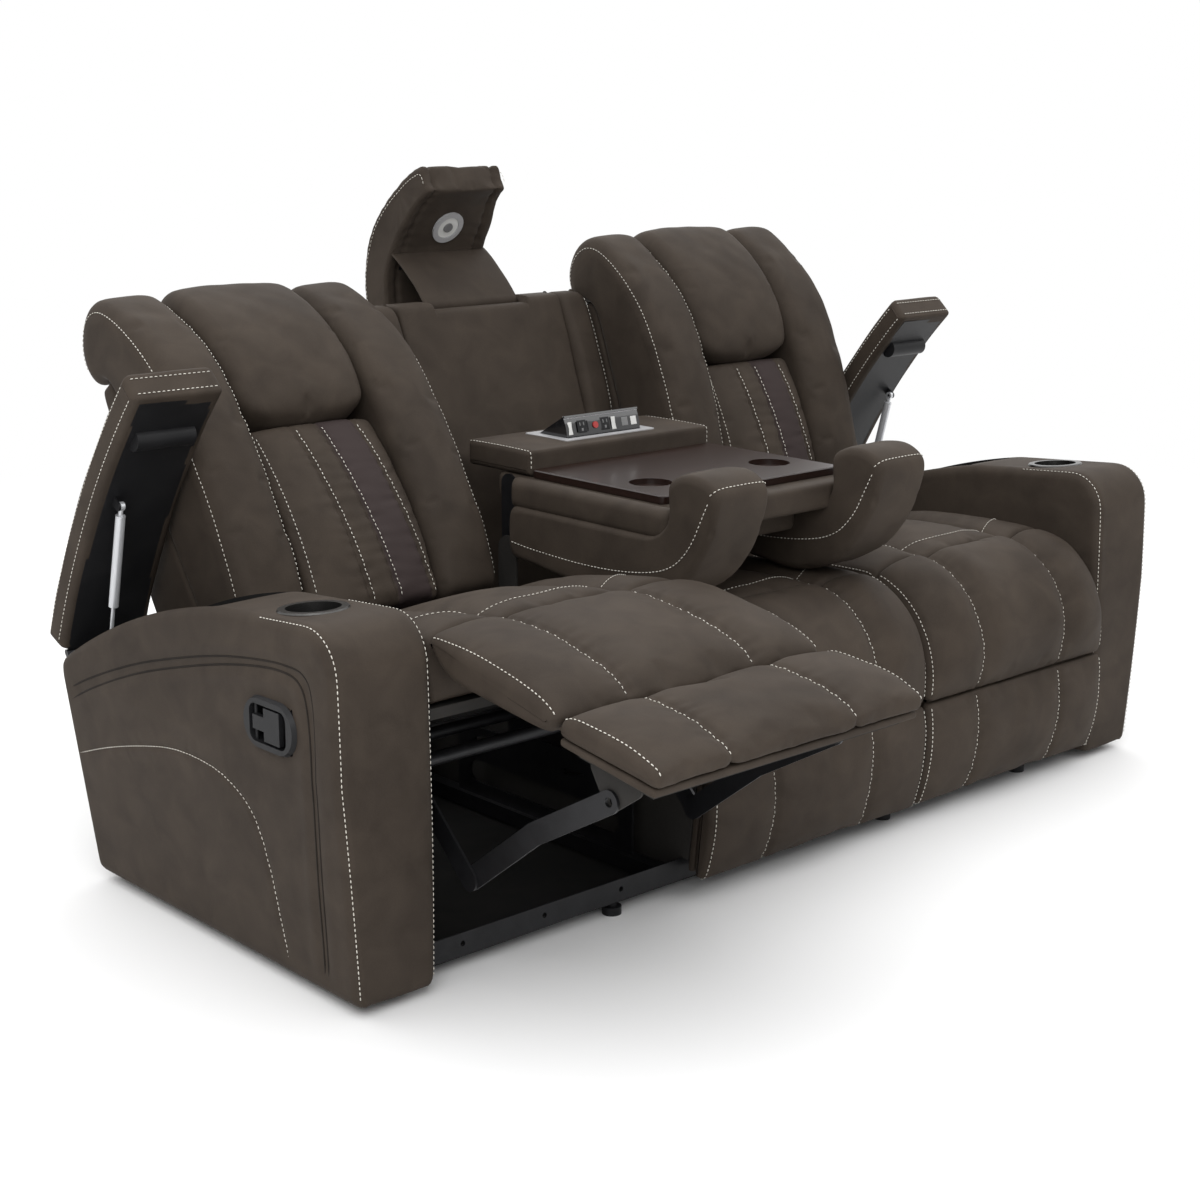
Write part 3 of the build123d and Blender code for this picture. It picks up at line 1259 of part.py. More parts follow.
def make_console_arms():
    """Steel arms beside the console's core that turn on the posts."""
    with BuildPart() as arms:
        for offset in (-1, 1):
            with BuildSketch(side_plane(offset * (CORE_HALF + SOFT_GAP))):
                bar(CONSOLE_PIVOT, (CONSOLE_PIVOT[0], CORE_TOP - ARM_BAR_WIDTH / 2), ARM_BAR_WIDTH)
                holes((CONSOLE_PIVOT,), PIVOT_R + PIN_GAP)
            extrude(amount=offset * POST_THICK)
    return arms


def make_console_tray():
    """Wooden tray with two round cup recesses."""
    y = ARM_FRONT_Y + (TRAY_FRONT + TRAY_REAR) / 2
    with BuildPart() as tray:
        with BuildSketch(Plane.XY.offset(CORE_TOP)):
            with Locations((0, y)):
                RectangleRounded(2 * TRAY_HALF, TRAY_REAR - TRAY_FRONT, TRAY_CORNER_R)
        extrude(amount=TRAY_THICK)
        chamfer(tray.faces().sort_by(Axis.Z)[-1].edges(), TRAY_CHAMFER)
        with BuildSketch(Plane.XY.offset(CORE_TOP + TRAY_THICK)):
            with Locations(*[(side * TRAY_CUP_X, ARM_FRONT_Y + TRAY_CUP_DEPTH) for side, _ in SIDES]):
                Circle(TRAY_CUP_R)
        extrude(amount=-TRAY_CUP_DEEP, mode=Mode.SUBTRACT)
    return tray


FLAP_POSE = turned(FLAP_PIVOT, -FLAP_OPEN)
FLAP_FACE_TURN = degrees(asin(FLAP_FACE_DROP / FLAP_LENGTH))


def make_power_block():
    """Padded block at the rear of the console, hollowed for the power unit's box."""
    with BuildPart() as block:
        with BuildSketch(side_plane(0)):
            with BuildLine():
                Polyline(yz((BLOCK_FRONT, CORE_TOP)), yz((BLOCK_REAR, CORE_TOP)), yz((BLOCK_REAR, BLOCK_TOP)),
                         yz((BLOCK_FRONT, BLOCK_TOP)), close=True)
            make_face()
        extrude(amount=BLOCK_HALF, both=True)
        fillet(block.edges().filter_by(Axis.X).group_by(Axis.Z)[-1], BLOCK_EDGE_R)
        with BuildSketch(Plane.XY.offset(BLOCK_TOP)):
            with Locations((0, ARM_FRONT_Y + POWER_AT)):
                Rectangle(2 * BOX_HALF + 2 * SOFT_GAP, BOX_DEPTH + 2 * SOFT_GAP)
        extrude(amount=-POWER_BOX_DEEP - SOFT_GAP, mode=Mode.SUBTRACT)
    return block


def make_power_bezel():
    """Metal frame and open box of the power unit, with the flap's pin at the rear."""
    with BuildPart() as bezel:
        with BuildSketch(Plane.XY.offset(BLOCK_TOP)):
            with Locations((0, ARM_FRONT_Y + POWER_AT)):
                RectangleRounded(POWER_LENGTH, POWER_DEPTH, POWER_CORNER_R)
        extrude(amount=POWER_PROUD)
        with BuildSketch(Plane.XY.offset(BLOCK_TOP)):
            with Locations((0, ARM_FRONT_Y + POWER_AT)):
                Rectangle(2 * BOX_HALF, BOX_DEPTH)
        extrude(amount=-POWER_BOX_DEEP)
        with BuildSketch(Plane.XY.offset(BLOCK_TOP + POWER_PROUD)):
            with Locations((0, ARM_FRONT_Y + POWER_AT)):
                Rectangle(2 * BOX_HALF - 2 * POWER_BOX_WALL, BOX_DEPTH - 2 * POWER_BOX_WALL)
        extrude(amount=POWER_BOX_WALL - POWER_BOX_DEEP - POWER_PROUD, mode=Mode.SUBTRACT)
        with BuildSketch(side_plane(0)):
            with Locations(yz(FLAP_PIVOT)):
                Circle(FLAP_PIN_R)
        extrude(amount=BOX_HALF - POWER_BOX_WALL / 2, both=True)
    return bezel


def flap_face_plane(x):
    """Plane on the open flap's socket face at x, facing outwards."""
    y, z = yz(FLAP_PIVOT)
    turn = radians(FLAP_FACE_TURN / 2)
    face = FLAP_POSE * Pos(0, y - FLAP_LENGTH * cos(turn), z - FLAP_LENGTH * sin(turn)) * Rot(
        X=RIGHT_ANGLE + FLAP_FACE_TURN / 2)
    return Plane(Pos(x, 0, 0) * face)


def make_power_flap():
    """Wedge-shaped flap with two socket recesses in its curved face and a hole for the reset button."""
    y, z = yz(FLAP_PIVOT)
    turn = radians(FLAP_FACE_TURN)
    face_mid = (y - FLAP_LENGTH * cos(turn / 2), z - FLAP_LENGTH * sin(turn / 2))
    face_low = (y - FLAP_LENGTH * cos(turn), z - FLAP_LENGTH * sin(turn))
    top_front = (y - FLAP_LENGTH, z)
    with BuildPart() as flap:
        with BuildSketch(side_plane(0, FLAP_POSE)):
            with BuildLine():
                Line((y, z), top_front)
                ThreePointArc(top_front, face_mid, face_low)
                Line(face_low, (y, z))
            make_face()
            with BuildLine():
                Polyline((y, z), (y, z + FLAP_THICK), (y - FLAP_LENGTH - FLAP_THICK, z + FLAP_THICK),
                         (y - FLAP_LENGTH - FLAP_THICK, z), close=True)
            make_face()
            with Locations((y, z)):
                Circle(FLAP_THICK)
                Circle(FLAP_PIN_R + PIN_GAP, mode=Mode.SUBTRACT)
        extrude(amount=FLAP_HALF, both=True)
        with BuildSketch(*[flap_face_plane(x) for x in SOCKET_X]):
            Rectangle(SOCKET_WIDTH, SOCKET_HEIGHT)
        extrude(amount=-SOCKET_DEEP, mode=Mode.SUBTRACT)
        with BuildSketch(flap_face_plane(RESET_X)):
            Circle(RESET_R + RUN_GAP)
        extrude(amount=-RESET_DEEP, mode=Mode.SUBTRACT)
    return flap


def make_reset_button():
    """Round reset button that stands in the flap's face."""
    with BuildPart() as button:
        with BuildSketch(flap_face_plane(RESET_X).offset(RESET_PROUD)):
            Circle(RESET_R)
        extrude(amount=-RESET_PROUD - RESET_DEEP + RESET_TRAVEL + SOFT_GAP)
    return button


def headrest_outline(fullness):
    """Side outline of the curved headrest pad."""
    draw = (1 - fullness) * HEADREST_DRAW
    mid_out = (HEADREST_MID_OUT[0] - draw, HEADREST_MID_OUT[1] - draw)
    ThreePointArc(yz(HEADREST_LOW_OUT), yz(mid_out), yz(HEADREST_TIP_OUT))
    Line(yz(HEADREST_TIP_OUT), yz(HEADREST_TIP_IN))
    ThreePointArc(yz(HEADREST_TIP_IN), yz(HEADREST_MID_IN), yz(HEADREST_LOW_IN))
    Line(yz(HEADREST_LOW_IN), yz(HEADREST_LOW_OUT))


def light_plane():
    """Plane of the reading light on the hollow side of the headrest, facing outwards."""
    y, z = yz(HEADREST_MID_IN)
    across = heading(HEADREST_TIP_IN, HEADREST_LOW_IN)
    return Plane(origin=(0, y, z), x_dir=(1, 0, 0), z_dir=(0, sin(radians(across)), -cos(radians(across))))


def make_headrest_pad():
    """Curved headrest pad, recessed for the reading light."""
    with BuildPart() as pad:
        for offset_x, fullness in plain_stations(-HEADREST_HALF, HEADREST_HALF):
            with BuildSketch(side_plane(offset_x)):
                with BuildLine():
                    headrest_outline(fullness)
                make_face()
        loft()
        with BuildSketch(light_plane().offset(LIGHT_PROUD)):
            Circle(LIGHT_R + SOFT_GAP)
        extrude(amount=-LIGHT_PROUD - LIGHT_SUNK - SOFT_GAP, mode=Mode.SUBTRACT)
    return pad


def make_headrest_bracket():
    """Sleeve on the tube with a hanger plate and a flange under the headrest pad."""
    slope = radians(heading(HEADREST_LOW_IN, HEADREST_LOW_OUT))
    drop = SOFT_GAP + HANGER_THICK / 2
    start = (HEADREST_LOW_IN[0] + drop * sin(slope) + HANGER_THICK, HEADREST_LOW_IN[1] - drop * cos(slope)
             + HANGER_THICK * sin(slope) / cos(slope))
    end = (HEADREST_LOW_OUT[0] + drop * sin(slope) - HANGER_THICK, HEADREST_LOW_OUT[1] - drop * cos(slope)
           - HANGER_THICK * sin(slope) / cos(slope))
    with BuildPart() as bracket:
        with BuildSketch(side_plane(0)):
            bar(HEADREST_HINGE, start, HANGER_THICK)
            bar(start, end, HANGER_THICK)
            with Locations(yz(HEADREST_HINGE)):
                Circle(HEADREST_TUBE_R + RUN_GAP + SLEEVE_WALL)
                Circle(HEADREST_TUBE_R + RUN_GAP, mode=Mode.SUBTRACT)
        extrude(amount=HANGER_HALF, both=True)
    return bracket


def make_light_ring():
    """Round reading light: a metal rim, a sunk diffuser and a hole for its button."""
    with BuildPart() as ring:
        with BuildSketch(light_plane().offset(LIGHT_PROUD)):
            Circle(LIGHT_R)
        extrude(amount=-LIGHT_PROUD - LIGHT_SUNK)
        with BuildSketch(light_plane().offset(LIGHT_PROUD)):
            Circle(LIGHT_WINDOW_R)
        extrude(amount=-LIGHT_FACE, mode=Mode.SUBTRACT)
        with BuildSketch(light_plane().offset(LIGHT_PROUD)):
            Circle(LIGHT_BUTTON_R + RUN_GAP)
        extrude(amount=-LIGHT_PROUD - LIGHT_BUTTON_SUNK, mode=Mode.SUBTRACT)
    return ring


def make_light_button():
    """Push button in the middle of the reading light."""
    with BuildPart() as button:
        with BuildSketch(light_plane().offset(LIGHT_PROUD + LIGHT_BUTTON_PROUD - LIGHT_FACE)):
            Circle(LIGHT_BUTTON_R)
        extrude(amount=LIGHT_FACE + LIGHT_BUTTON_TRAVEL + SOFT_GAP - LIGHT_PROUD - LIGHT_BUTTON_PROUD
                - LIGHT_BUTTON_SUNK)
    return button


for builder, name in (
    (make_base_rails(), "base_rails"), (make_cross_rails(), "cross_rails"),
    (make_base_plates(), "base_plates"), (make_feet(), "feet"),
    (make_cup_holders(), "cup_holders"), (make_lever_bezels(), "lever_bezels"),
    (make_lid_hinges(), "lid_hinges"), (make_centre_seat_deck(), "centre_seat_deck"),
    (make_centre_front_pads(), "centre_front_pads"), (make_centre_back_panel(), "centre_back_panel"),
    (make_headrest_tube(), "headrest_tube"), (make_console_core(), "console_core"),
    (make_console_bolsters(), "console_bolsters"), (make_console_arms(), "console_arms"),
    (make_console_tray(), "console_tray"), (make_power_block(), "power_block"),
    (make_power_bezel(), "power_bezel"), (make_power_flap(), "power_flap"),
    (make_reset_button(), "reset_button"), (make_headrest_pad(), "headrest_pad"),
    (make_headrest_bracket(), "headrest_bracket"), (make_light_ring(), "light_ring"),
    (make_light_button(), "light_button"),
    (padded(seat_outline(CENTRE_SEAT_REAR, CENTRE_SEAT_CROWN),
            channel_stations(CENTRE_PAD_HALF, CHANNEL_OFFSET), 0, Location()), "centre_seat_cushion"),
):
    save(builder, name)

for side, name in SIDES:
    save(make_arm(side), f"{name}_arm")
    save(make_lever(side), f"{name}_lever")
    save(make_lid_pad(side), f"{name}_lid_pad")
    save(make_lid_board(side), f"{name}_lid_board")
    save(make_strut_cylinder(side), f"{name}_strut_cylinder")
    save(make_strut_rod(side), f"{name}_strut_rod")

# The left pads rest stretched out, the right ones bent and shut
for side, name, opened, tilt, seam, toe, bulge in (
    (-1, "left", 1, BACK_TILT + LEFT_RECLINE, LONG_SEAM, LONG_TOE, LONG_BULGE),
    (1, "right", 0, BACK_TILT, SHUT_SEAM, SHUT_TOE, SHUT_BULGE),
):
    centre = side * SEAT_CENTRE
    channels = channel_stations(PAD_HALF, CHANNEL_OFFSET)
    middle = plain_stations(-LUMBAR_HALF, LUMBAR_HALF)
    save(make_seat_frame(side, opened), f"{name}_seat_frame")
    save(make_seat_pan(side, opened), f"{name}_seat_pan")
    save(make_drive_links(side, opened, seam), f"{name}_drive_links")
    save(make_lift_links(side, opened, seam), f"{name}_lift_links")
    save(make_footrest_board(side, opened, seam, toe), f"{name}_footrest_board")
    save(make_back_frame(side, opened, tilt), f"{name}_back_frame")
    save(make_bolsters(side, opened, tilt), f"{name}_back_bolsters")
    seat = seat_outline(SEAT_REAR, SEAT_CROWN)
    thigh = thigh_outline(seam, bulge)
    footrest = footrest_outline(seam, toe)
    save(padded(seat, channels, centre, seat_pose(opened)), f"{name}_seat_cushion")
    save(padded(thigh, channels, centre, thigh_pose(opened)), f"{name}_thigh_pad")
    save(padded(footrest, channels, centre, footrest_pose(opened, seam)), f"{name}_footrest_pad")
    save(padded(lumbar_outline, middle, centre, back_pose(opened, tilt)), f"{name}_back_lumbar")
    save(padded(pillow_outline, middle, centre, back_pose(opened, tilt)), f"{name}_back_pillow")
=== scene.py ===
"""Looks of the reclining sofa: soft pieces, seams, materials, floor, light and camera.

Sizes are millimetres in (x, depth, height), depth counted rearwards from the arms' front face,
and become metres in the row frame when a piece is placed.
"""

import json
import math

import bmesh
import bpy
import numpy as np
from mathutils import Matrix


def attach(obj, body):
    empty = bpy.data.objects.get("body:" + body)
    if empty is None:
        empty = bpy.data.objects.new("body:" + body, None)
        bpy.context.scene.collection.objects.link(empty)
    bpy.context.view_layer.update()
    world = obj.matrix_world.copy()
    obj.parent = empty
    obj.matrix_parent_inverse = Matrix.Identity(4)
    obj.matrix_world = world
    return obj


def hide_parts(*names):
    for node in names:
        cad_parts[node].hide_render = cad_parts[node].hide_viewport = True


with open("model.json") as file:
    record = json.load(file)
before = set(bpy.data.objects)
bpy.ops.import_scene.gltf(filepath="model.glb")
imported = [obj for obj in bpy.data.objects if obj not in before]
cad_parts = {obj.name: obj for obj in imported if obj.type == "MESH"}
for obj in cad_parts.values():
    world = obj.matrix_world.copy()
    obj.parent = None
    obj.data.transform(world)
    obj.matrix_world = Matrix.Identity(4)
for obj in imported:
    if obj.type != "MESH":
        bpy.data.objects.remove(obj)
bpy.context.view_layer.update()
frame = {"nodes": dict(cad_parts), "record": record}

MM = 0.001
FRONT_Y = -365.8
SIDES = ((-1, "left"), (1, "right"))
ARM_MID, ARM_HALF, ARM_EDGE = 1010.0, 95.0, 20.0
SEAT_X, PAD_HALF, CENTRE_HALF, SEAM_X = 612.5, 299.0, 306.5, 140.0
GLIDE, SEAT_TIP, THIGH_SWING, FOOT_UNFOLD = (-130.0, 28.0), 9.0, 38.0, 39.0
SEAT_PIVOT, BACK_PIVOT, THIGH_TOP, THIGH_HEEL = (560.0, 325.0), (670.0, 390.0), (126.7, 505.0), 424.0
LEFT_TILT, RIGHT_TILT = 35.0, 20.0
SHUT_SEAM, SHUT_TOE, SHUT_BULGE = (-28.0, 262.0), (-8.0, 44.0), 98.0
LONG_SEAM, LONG_TOE, LONG_BULGE = (-51.0, 227.0), (-40.0, 13.0), 46.0
SEAM_THICK, SEAM_GAP, TOE_THICK, FOOT_BULGE = 38.0, 4.0, 44.0, 26.0


def arc(start, end, rise, count):
    """Points on the circular arc from start towards end, standing a rise to the right of the chord."""
    start, end = np.array(start, float), np.array(end, float)
    chord = end - start
    length = np.hypot(*chord)
    along, aside = chord / length, np.array([chord[1], -chord[0]]) / length
    share = np.linspace(0.0, 1.0, count, endpoint=False)
    if abs(rise) < 1e-6:
        return start + share[:, None] * chord
    radius = (length * length / 4 + rise * rise) / (2 * abs(rise))
    half = math.asin(min(1.0, length / 2 / radius))
    half = math.pi - half if abs(rise) > length / 2 else half
    angle = (2 * share - 1) * half
    height = math.copysign(1.0, rise) * radius * (np.cos(angle) - math.cos(half))
    return (start + end) / 2 + (radius * np.sin(angle))[:, None] * along + height[:, None] * aside


def arc_through(start, middle, end, count):
    """Points on the arc from start towards end that passes through a middle point near its top."""
    start, middle, end = (np.array(p, float) for p in (start, middle, end))
    a, b = middle - start, end - start
    cross = 2 * (a[0] * b[1] - a[1] * b[0])
    centre = start + np.array([b[1] * (a @ a) - a[1] * (b @ b), a[0] * (b @ b) - b[0] * (a @ a)]) / cross
    angles = [math.atan2(*(p - centre)[::-1]) for p in (start, middle, end)]
    way = 1.0 if (angles[1] - angles[0]) % math.tau < (angles[2] - angles[0]) % math.tau else -1.0
    sweep = way * ((way * (angles[2] - angles[0])) % math.tau)
    angle = angles[0] + np.linspace(0.0, 1.0, count, endpoint=False) * sweep
    return centre + np.hypot(*(start - centre)) * np.stack([np.cos(angle), np.sin(angle)], 1)


def chain(*runs):
    """A closed outline of runs (start, bend, count), each going on to the start of the next. The bend is the rise
    of an arc, 0 for a straight run, or a point that the arc passes through."""
    return np.concatenate([arc(start, end, bend, count) if np.isscalar(bend) else arc_through(start, bend, end, count)
                           for (start, bend, count), (end, _, _) in zip(runs, runs[1:] + runs[:1])])


def smooth_path(points, count=60):
    """A curve through points in the side view, rounded by repeated corner cutting."""
    path = np.array(points, float)
    for _ in range(4):
        near, far = path[:-1] * 0.75 + path[1:] * 0.25, path[:-1] * 0.25 + path[1:] * 0.75
        path = np.concatenate([path[:1], np.stack([near, far], 1).reshape(-1, 2), path[-1:]])
    run = np.concatenate([[0.0], np.cumsum(np.hypot(*np.diff(path, axis=0).T))])
    at = np.linspace(0, run[-1], count)
    return np.column_stack([np.interp(at, run, path[:, k]) for k in (0, 1)])


def rounded(loop, passes):
    """A closed loop with its corners eased by averaging each point with its neighbours."""
    for _ in range(passes):
        loop = loop / 2 + (np.roll(loop, 1, 0) + np.roll(loop, -1, 0)) / 4
    return loop


def outward(loop):
    """Unit normals of a closed loop, pointing out of it."""
    run = np.roll(loop, -1, 0) - np.roll(loop, 1, 0)
    normal = np.stack([run[:, 1], -run[:, 0]], 1)
    normal /= np.linalg.norm(normal, axis=1, keepdims=True) + 1e-12
    area = np.sum(loop[:, 0] * np.roll(loop[:, 1], -1) - np.roll(loop[:, 0], -1) * loop[:, 1])
    return normal if area > 0 else -normal


def shift(depth, height):
    """Plane motion that moves by a step."""
    return np.array([[1, 0, depth], [0, 1, height], [0, 0, 1.0]])


def turn(pivot, degrees):
    """Plane motion that turns about a (depth, height) point."""
    c, s = math.cos(math.radians(degrees)), math.sin(math.radians(degrees))
    return shift(*pivot) @ np.array([[c, -s, 0], [s, c, 0], [0, 0, 1.0]]) @ shift(-pivot[0], -pivot[1])


def moved(points, motion):
    """(depth, height) points or the last two columns of 3-D points after a plane motion."""
    points = np.array(points, float)
    flat = points[..., -2:] @ motion[:2, :2].T + motion[:2, 2]
    return np.concatenate([points[..., :-2], flat], -1)


STILL = shift(0, 0)


def seat_motions(opened, seam):
    """Plane motions of the slide, seat, thigh pad and footrest for a seat from closed 0 to open 1."""
    slide = shift(GLIDE[0] * opened, GLIDE[1] * opened)
    seat = slide @ turn(SEAT_PIVOT, -SEAT_TIP * opened)
    thigh = seat @ turn(THIGH_TOP, -THIGH_SWING * opened)
    return slide, seat, thigh, thigh @ turn(seam, -FOOT_UNFOLD * opened)


def back_motion(opened, tilt):
    """Plane motion that places a back's own (rearward, upward) axes."""
    return shift(GLIDE[0] * opened, GLIDE[1] * opened) @ shift(*BACK_PIVOT) @ turn((0, 0), -tilt)


def ripple(points, seed, wave, count=14):
    """Smooth seeded noise from -1 to 1: a mean of sine waves of about one length in random directions."""
    rng = np.random.default_rng(seed)
    total = np.zeros(points.shape[:-1])
    for _ in range(count):
        way = rng.normal(size=3)
        way *= math.tau / (wave * rng.uniform(0.7, 1.6)) / np.linalg.norm(way)
        total += np.sin(points @ way + rng.uniform(0, math.tau))
    return total / math.sqrt(count * 2)


def normals(grid, wrap):
    """Unit normals of a grid of points, from the differences along its two directions."""
    if wrap:
        du = np.roll(grid, -1, 0) - np.roll(grid, 1, 0)
    else:
        du = np.gradient(grid, axis=0)
    n = np.cross(du, np.gradient(grid, axis=1))
    return n / (np.linalg.norm(n, axis=-1, keepdims=True) + 1e-12)


def finer(grid, wrap):
    """The grid with a point between each pair, both ways, on a cubic through four neighbours."""
    def double(g, closed):
        before, after = (g[-1:], g[:2]) if closed else (2 * g[:1] - g[1:2], 2 * g[-1:] - g[-2:-1])
        pad = np.concatenate([before, g, after])
        mid = (9 * (pad[1:-2] + pad[2:-1]) - pad[:-3] - pad[3:]) / 16
        out = np.empty((len(g) + len(mid),) + g.shape[1:])
        out[0::2], out[1::2] = g, mid
        return out
    return double(double(grid, wrap).swapaxes(0, 1), False).swapaxes(0, 1)


def placed(grid, motion, centre):
    """A pad's own points as metres in the row frame."""
    out = moved(grid, motion)
    out[..., 0] += centre
    out[..., 1] += FRONT_Y
    return out * MM


WELD = 0.0002


def new_mesh(name, verts, faces, smooth=True, weld=False):
    """A mesh object from points in metres and faces, its double points joined if asked, its normals outwards."""
    mesh = bpy.data.meshes.new(name)
    mesh.from_pydata(np.asarray(verts, float).reshape(-1, 3).tolist(), [], faces)
    bm = bmesh.new()
    bm.from_mesh(mesh)
    if weld:
        bmesh.ops.remove_doubles(bm, verts=bm.verts, dist=WELD)
    bmesh.ops.recalc_face_normals(bm, faces=bm.faces)
    if bm.calc_volume(signed=True) < 0:
        bmesh.ops.reverse_faces(bm, faces=bm.faces)
    bm.to_mesh(mesh)
    bm.free()
    mesh.polygons.foreach_set("use_smooth", [smooth] * len(mesh.polygons))
    obj = bpy.data.objects.new(name, mesh)
    bpy.context.scene.collection.objects.link(obj)
    return obj


def grid_faces(rows, cols, wrap, start=0, skip=None):
    """Quads of a grid whose points are numbered row by row; skip is a mask of quads to leave out."""
    faces = []
    for i in range(rows if wrap else rows - 1):
        j = (i + 1) % rows
        for k in range(cols - 1):
            if skip is None or not skip[i, k]:
                a, b = start + i * cols + k, start + j * cols + k
                faces.append((a, b, b + 1, a + 1))
    return faces


def cell_middles(grid):
    """Middle of each quad of a grid whose rows close on themselves."""
    pair = (grid + np.roll(grid, -1, 0)) / 4
    return pair[:, :-1] + pair[:, 1:]


def closed_pad(grids, name):
    """One object from loft grids (loops by stations), each closed at both ends by one face."""
    verts, faces = [], []
    for grid in grids:
        rows, cols = grid.shape[:2]
        start = sum(len(v) for v in verts)
        verts.append(grid.reshape(-1, 3))
        faces += grid_faces(rows, cols, True, start)
        faces += [tuple(start + i * cols + k for i in range(rows)) for k in (0, cols - 1)]
    return new_mesh(name, np.concatenate(verts), faces)


def spread(half, edge, count):
    """Stations across a pad: evenly spaced inside, and by equal turns round the two edges."""
    rim = half - edge + edge * np.sin(np.linspace(0, math.pi / 2, 6))[1:]
    return np.concatenate([-rim[::-1], np.linspace(-(half - edge), half - edge, count), rim])


INSET_STEP = 1.5


def loft(outline, xs, half, edge, full, passes):
    """Loops of an outline at each station, swelling with its fullness and drawn in by small steps round the edges."""
    loops = []
    for x in xs:
        s = max(0.0, (abs(x) - (half - edge)) / edge)
        loop = rounded(outline(full(x)), passes)
        inset = edge * (1 - math.sqrt(max(0.0, 1 - s * s)))
        steps = math.ceil(inset / INSET_STEP)
        for _ in range(steps):
            loop = rounded(loop - outward(loop) * inset / steps, 1)
        loops.append(np.column_stack([np.full(len(loop), x), loop]))
    return np.array(loops).swapaxes(0, 1)


def swell(grid, pin, pressure, cap, grow=0.004, frames=20):
    """The grid after its skin has been blown up as cloth, held at the pinned points, moving at most cap."""
    obj = closed_pad([grid * MM], "swell")
    group = obj.vertex_groups.new(name="pin")
    group.add(np.flatnonzero(pin.reshape(-1)).tolist(), 1.0, "REPLACE")
    cloth = obj.modifiers.new("cloth", "CLOTH")
    cloth.settings.vertex_group_mass = "pin"
    cloth.settings.use_pressure = True
    cloth.settings.uniform_pressure_force = pressure
    cloth.settings.effector_weights.gravity = 0.0
    cloth.settings.shrink_min = -grow
    cloth.settings.tension_stiffness = 30
    cloth.settings.compression_stiffness = 30
    cloth.settings.bending_stiffness = 8.0
    cloth.collision_settings.use_collision = False
    cloth.point_cache.frame_end = frames
    scene = bpy.context.scene
    for step in range(1, frames + 1):
        scene.frame_set(step)
    done = obj.evaluated_get(bpy.context.evaluated_depsgraph_get()).data
    out = np.empty(len(done.vertices) * 3)
    done.vertices.foreach_get("co", out)
    out = out.reshape(grid.shape) / MM
    scene.frame_set(1)
    bpy.data.objects.remove(obj)
    step = out - grid
    size = np.linalg.norm(step, axis=-1, keepdims=True)
    return grid + step * np.minimum(1.0, cap / np.maximum(size, 1e-9))


def middles(values):
    """Values with the middle of each pair put between them."""
    out = np.empty(2 * len(values) - 1)
    out[0::2], out[1::2] = values, (values[1:] + values[:-1]) / 2
    return out


def out_normals(grid, wrap=True):
    """Grid normals turned away from the middle of the piece."""
    n = normals(grid, wrap)
    return n if np.sum(n * (grid - grid.reshape(-1, 3).mean(0))) > 0 else -n


def rippled(grid, rise, seed, wave, share=1.0):
    """A closed grid with slow ripples pushed out along its normals."""
    return grid + out_normals(grid) * (rise * ripple(grid, seed, wave))[..., None] * share


def sideways(way, count):
    """Normals that point straight to one side."""
    return np.tile([float(way), 0.0, 0.0], (count, 1))


def ends_of(seam):
    """First and last offset of a seam given as one number or as a pair."""
    return (seam, seam) if np.isscalar(seam) else seam


SLOW_WAVE, FINE_WAVE, FINE_SHARE = 170.0, 60.0, 0.4
PUCKER_PITCH, PUCKER_RISE, PUCKER_REACH = 27.0, 1.3, 17.0
PUCKER_DRIFT, DRIFT_WAVE = 2.2, 90.0
SEAM_DEPTH, SEAM_REACH = 6.5, 5.5


def dressed(grid, xs, rows, seams, seed, rough=1.6):
    """A pad's grid with seams pressed in, puckers fading away from them and slow ripples on its shown rows."""
    share = np.zeros(len(grid))
    share[rows[0]:rows[1]] = 1.0
    share = rounded(share[:, None], 6)
    run = np.cumsum(np.linalg.norm(np.diff(grid, axis=0, prepend=grid[:1]), axis=-1), 0)
    push = rough * ripple(grid, seed, SLOW_WAVE) + FINE_SHARE * rough * ripple(grid, seed + 1, FINE_WAVE)
    for seam in seams:
        off = np.abs(xs[None] - np.interp(np.arange(len(grid)), rows, ends_of(seam))[:, None])
        wander = run * math.tau / PUCKER_PITCH + PUCKER_DRIFT * ripple(grid, seed + 2, DRIFT_WAVE)
        push = push + PUCKER_RISE * np.exp(-off / PUCKER_REACH) * np.sin(wander)
        push = push - SEAM_DEPTH * np.exp(-(off / SEAM_REACH) ** 2)
    return grid + out_normals(grid) * (push * share)[..., None]


def cushion(outline, half, edge, full, passes, hold, shown, seams, seed, pressure=4.0, cap=14.0, count=44):
    """A simulated pad: lofted, blown up with the held rows pinned, refined, then given its seams."""
    xs = spread(half, edge, count)
    grid = loft(outline, xs, half, edge, full, passes)
    pin = np.zeros(grid.shape[:2], bool)
    pin[hold[0]:hold[1]] = True
    for seam in seams:
        at = np.interp(np.arange(len(grid)), shown, ends_of(seam))
        pin[np.arange(len(grid)), np.argmin(np.abs(xs[None] - at[:, None]), 1)] = True
    pin[:, :3] = pin[:, -3:] = True
    grid = finer(swell(grid, pin, pressure, cap), True)
    xs = middles(xs)
    return dressed(grid, xs, (2 * shown[0], 2 * shown[1]), seams, seed), xs


threads = {}


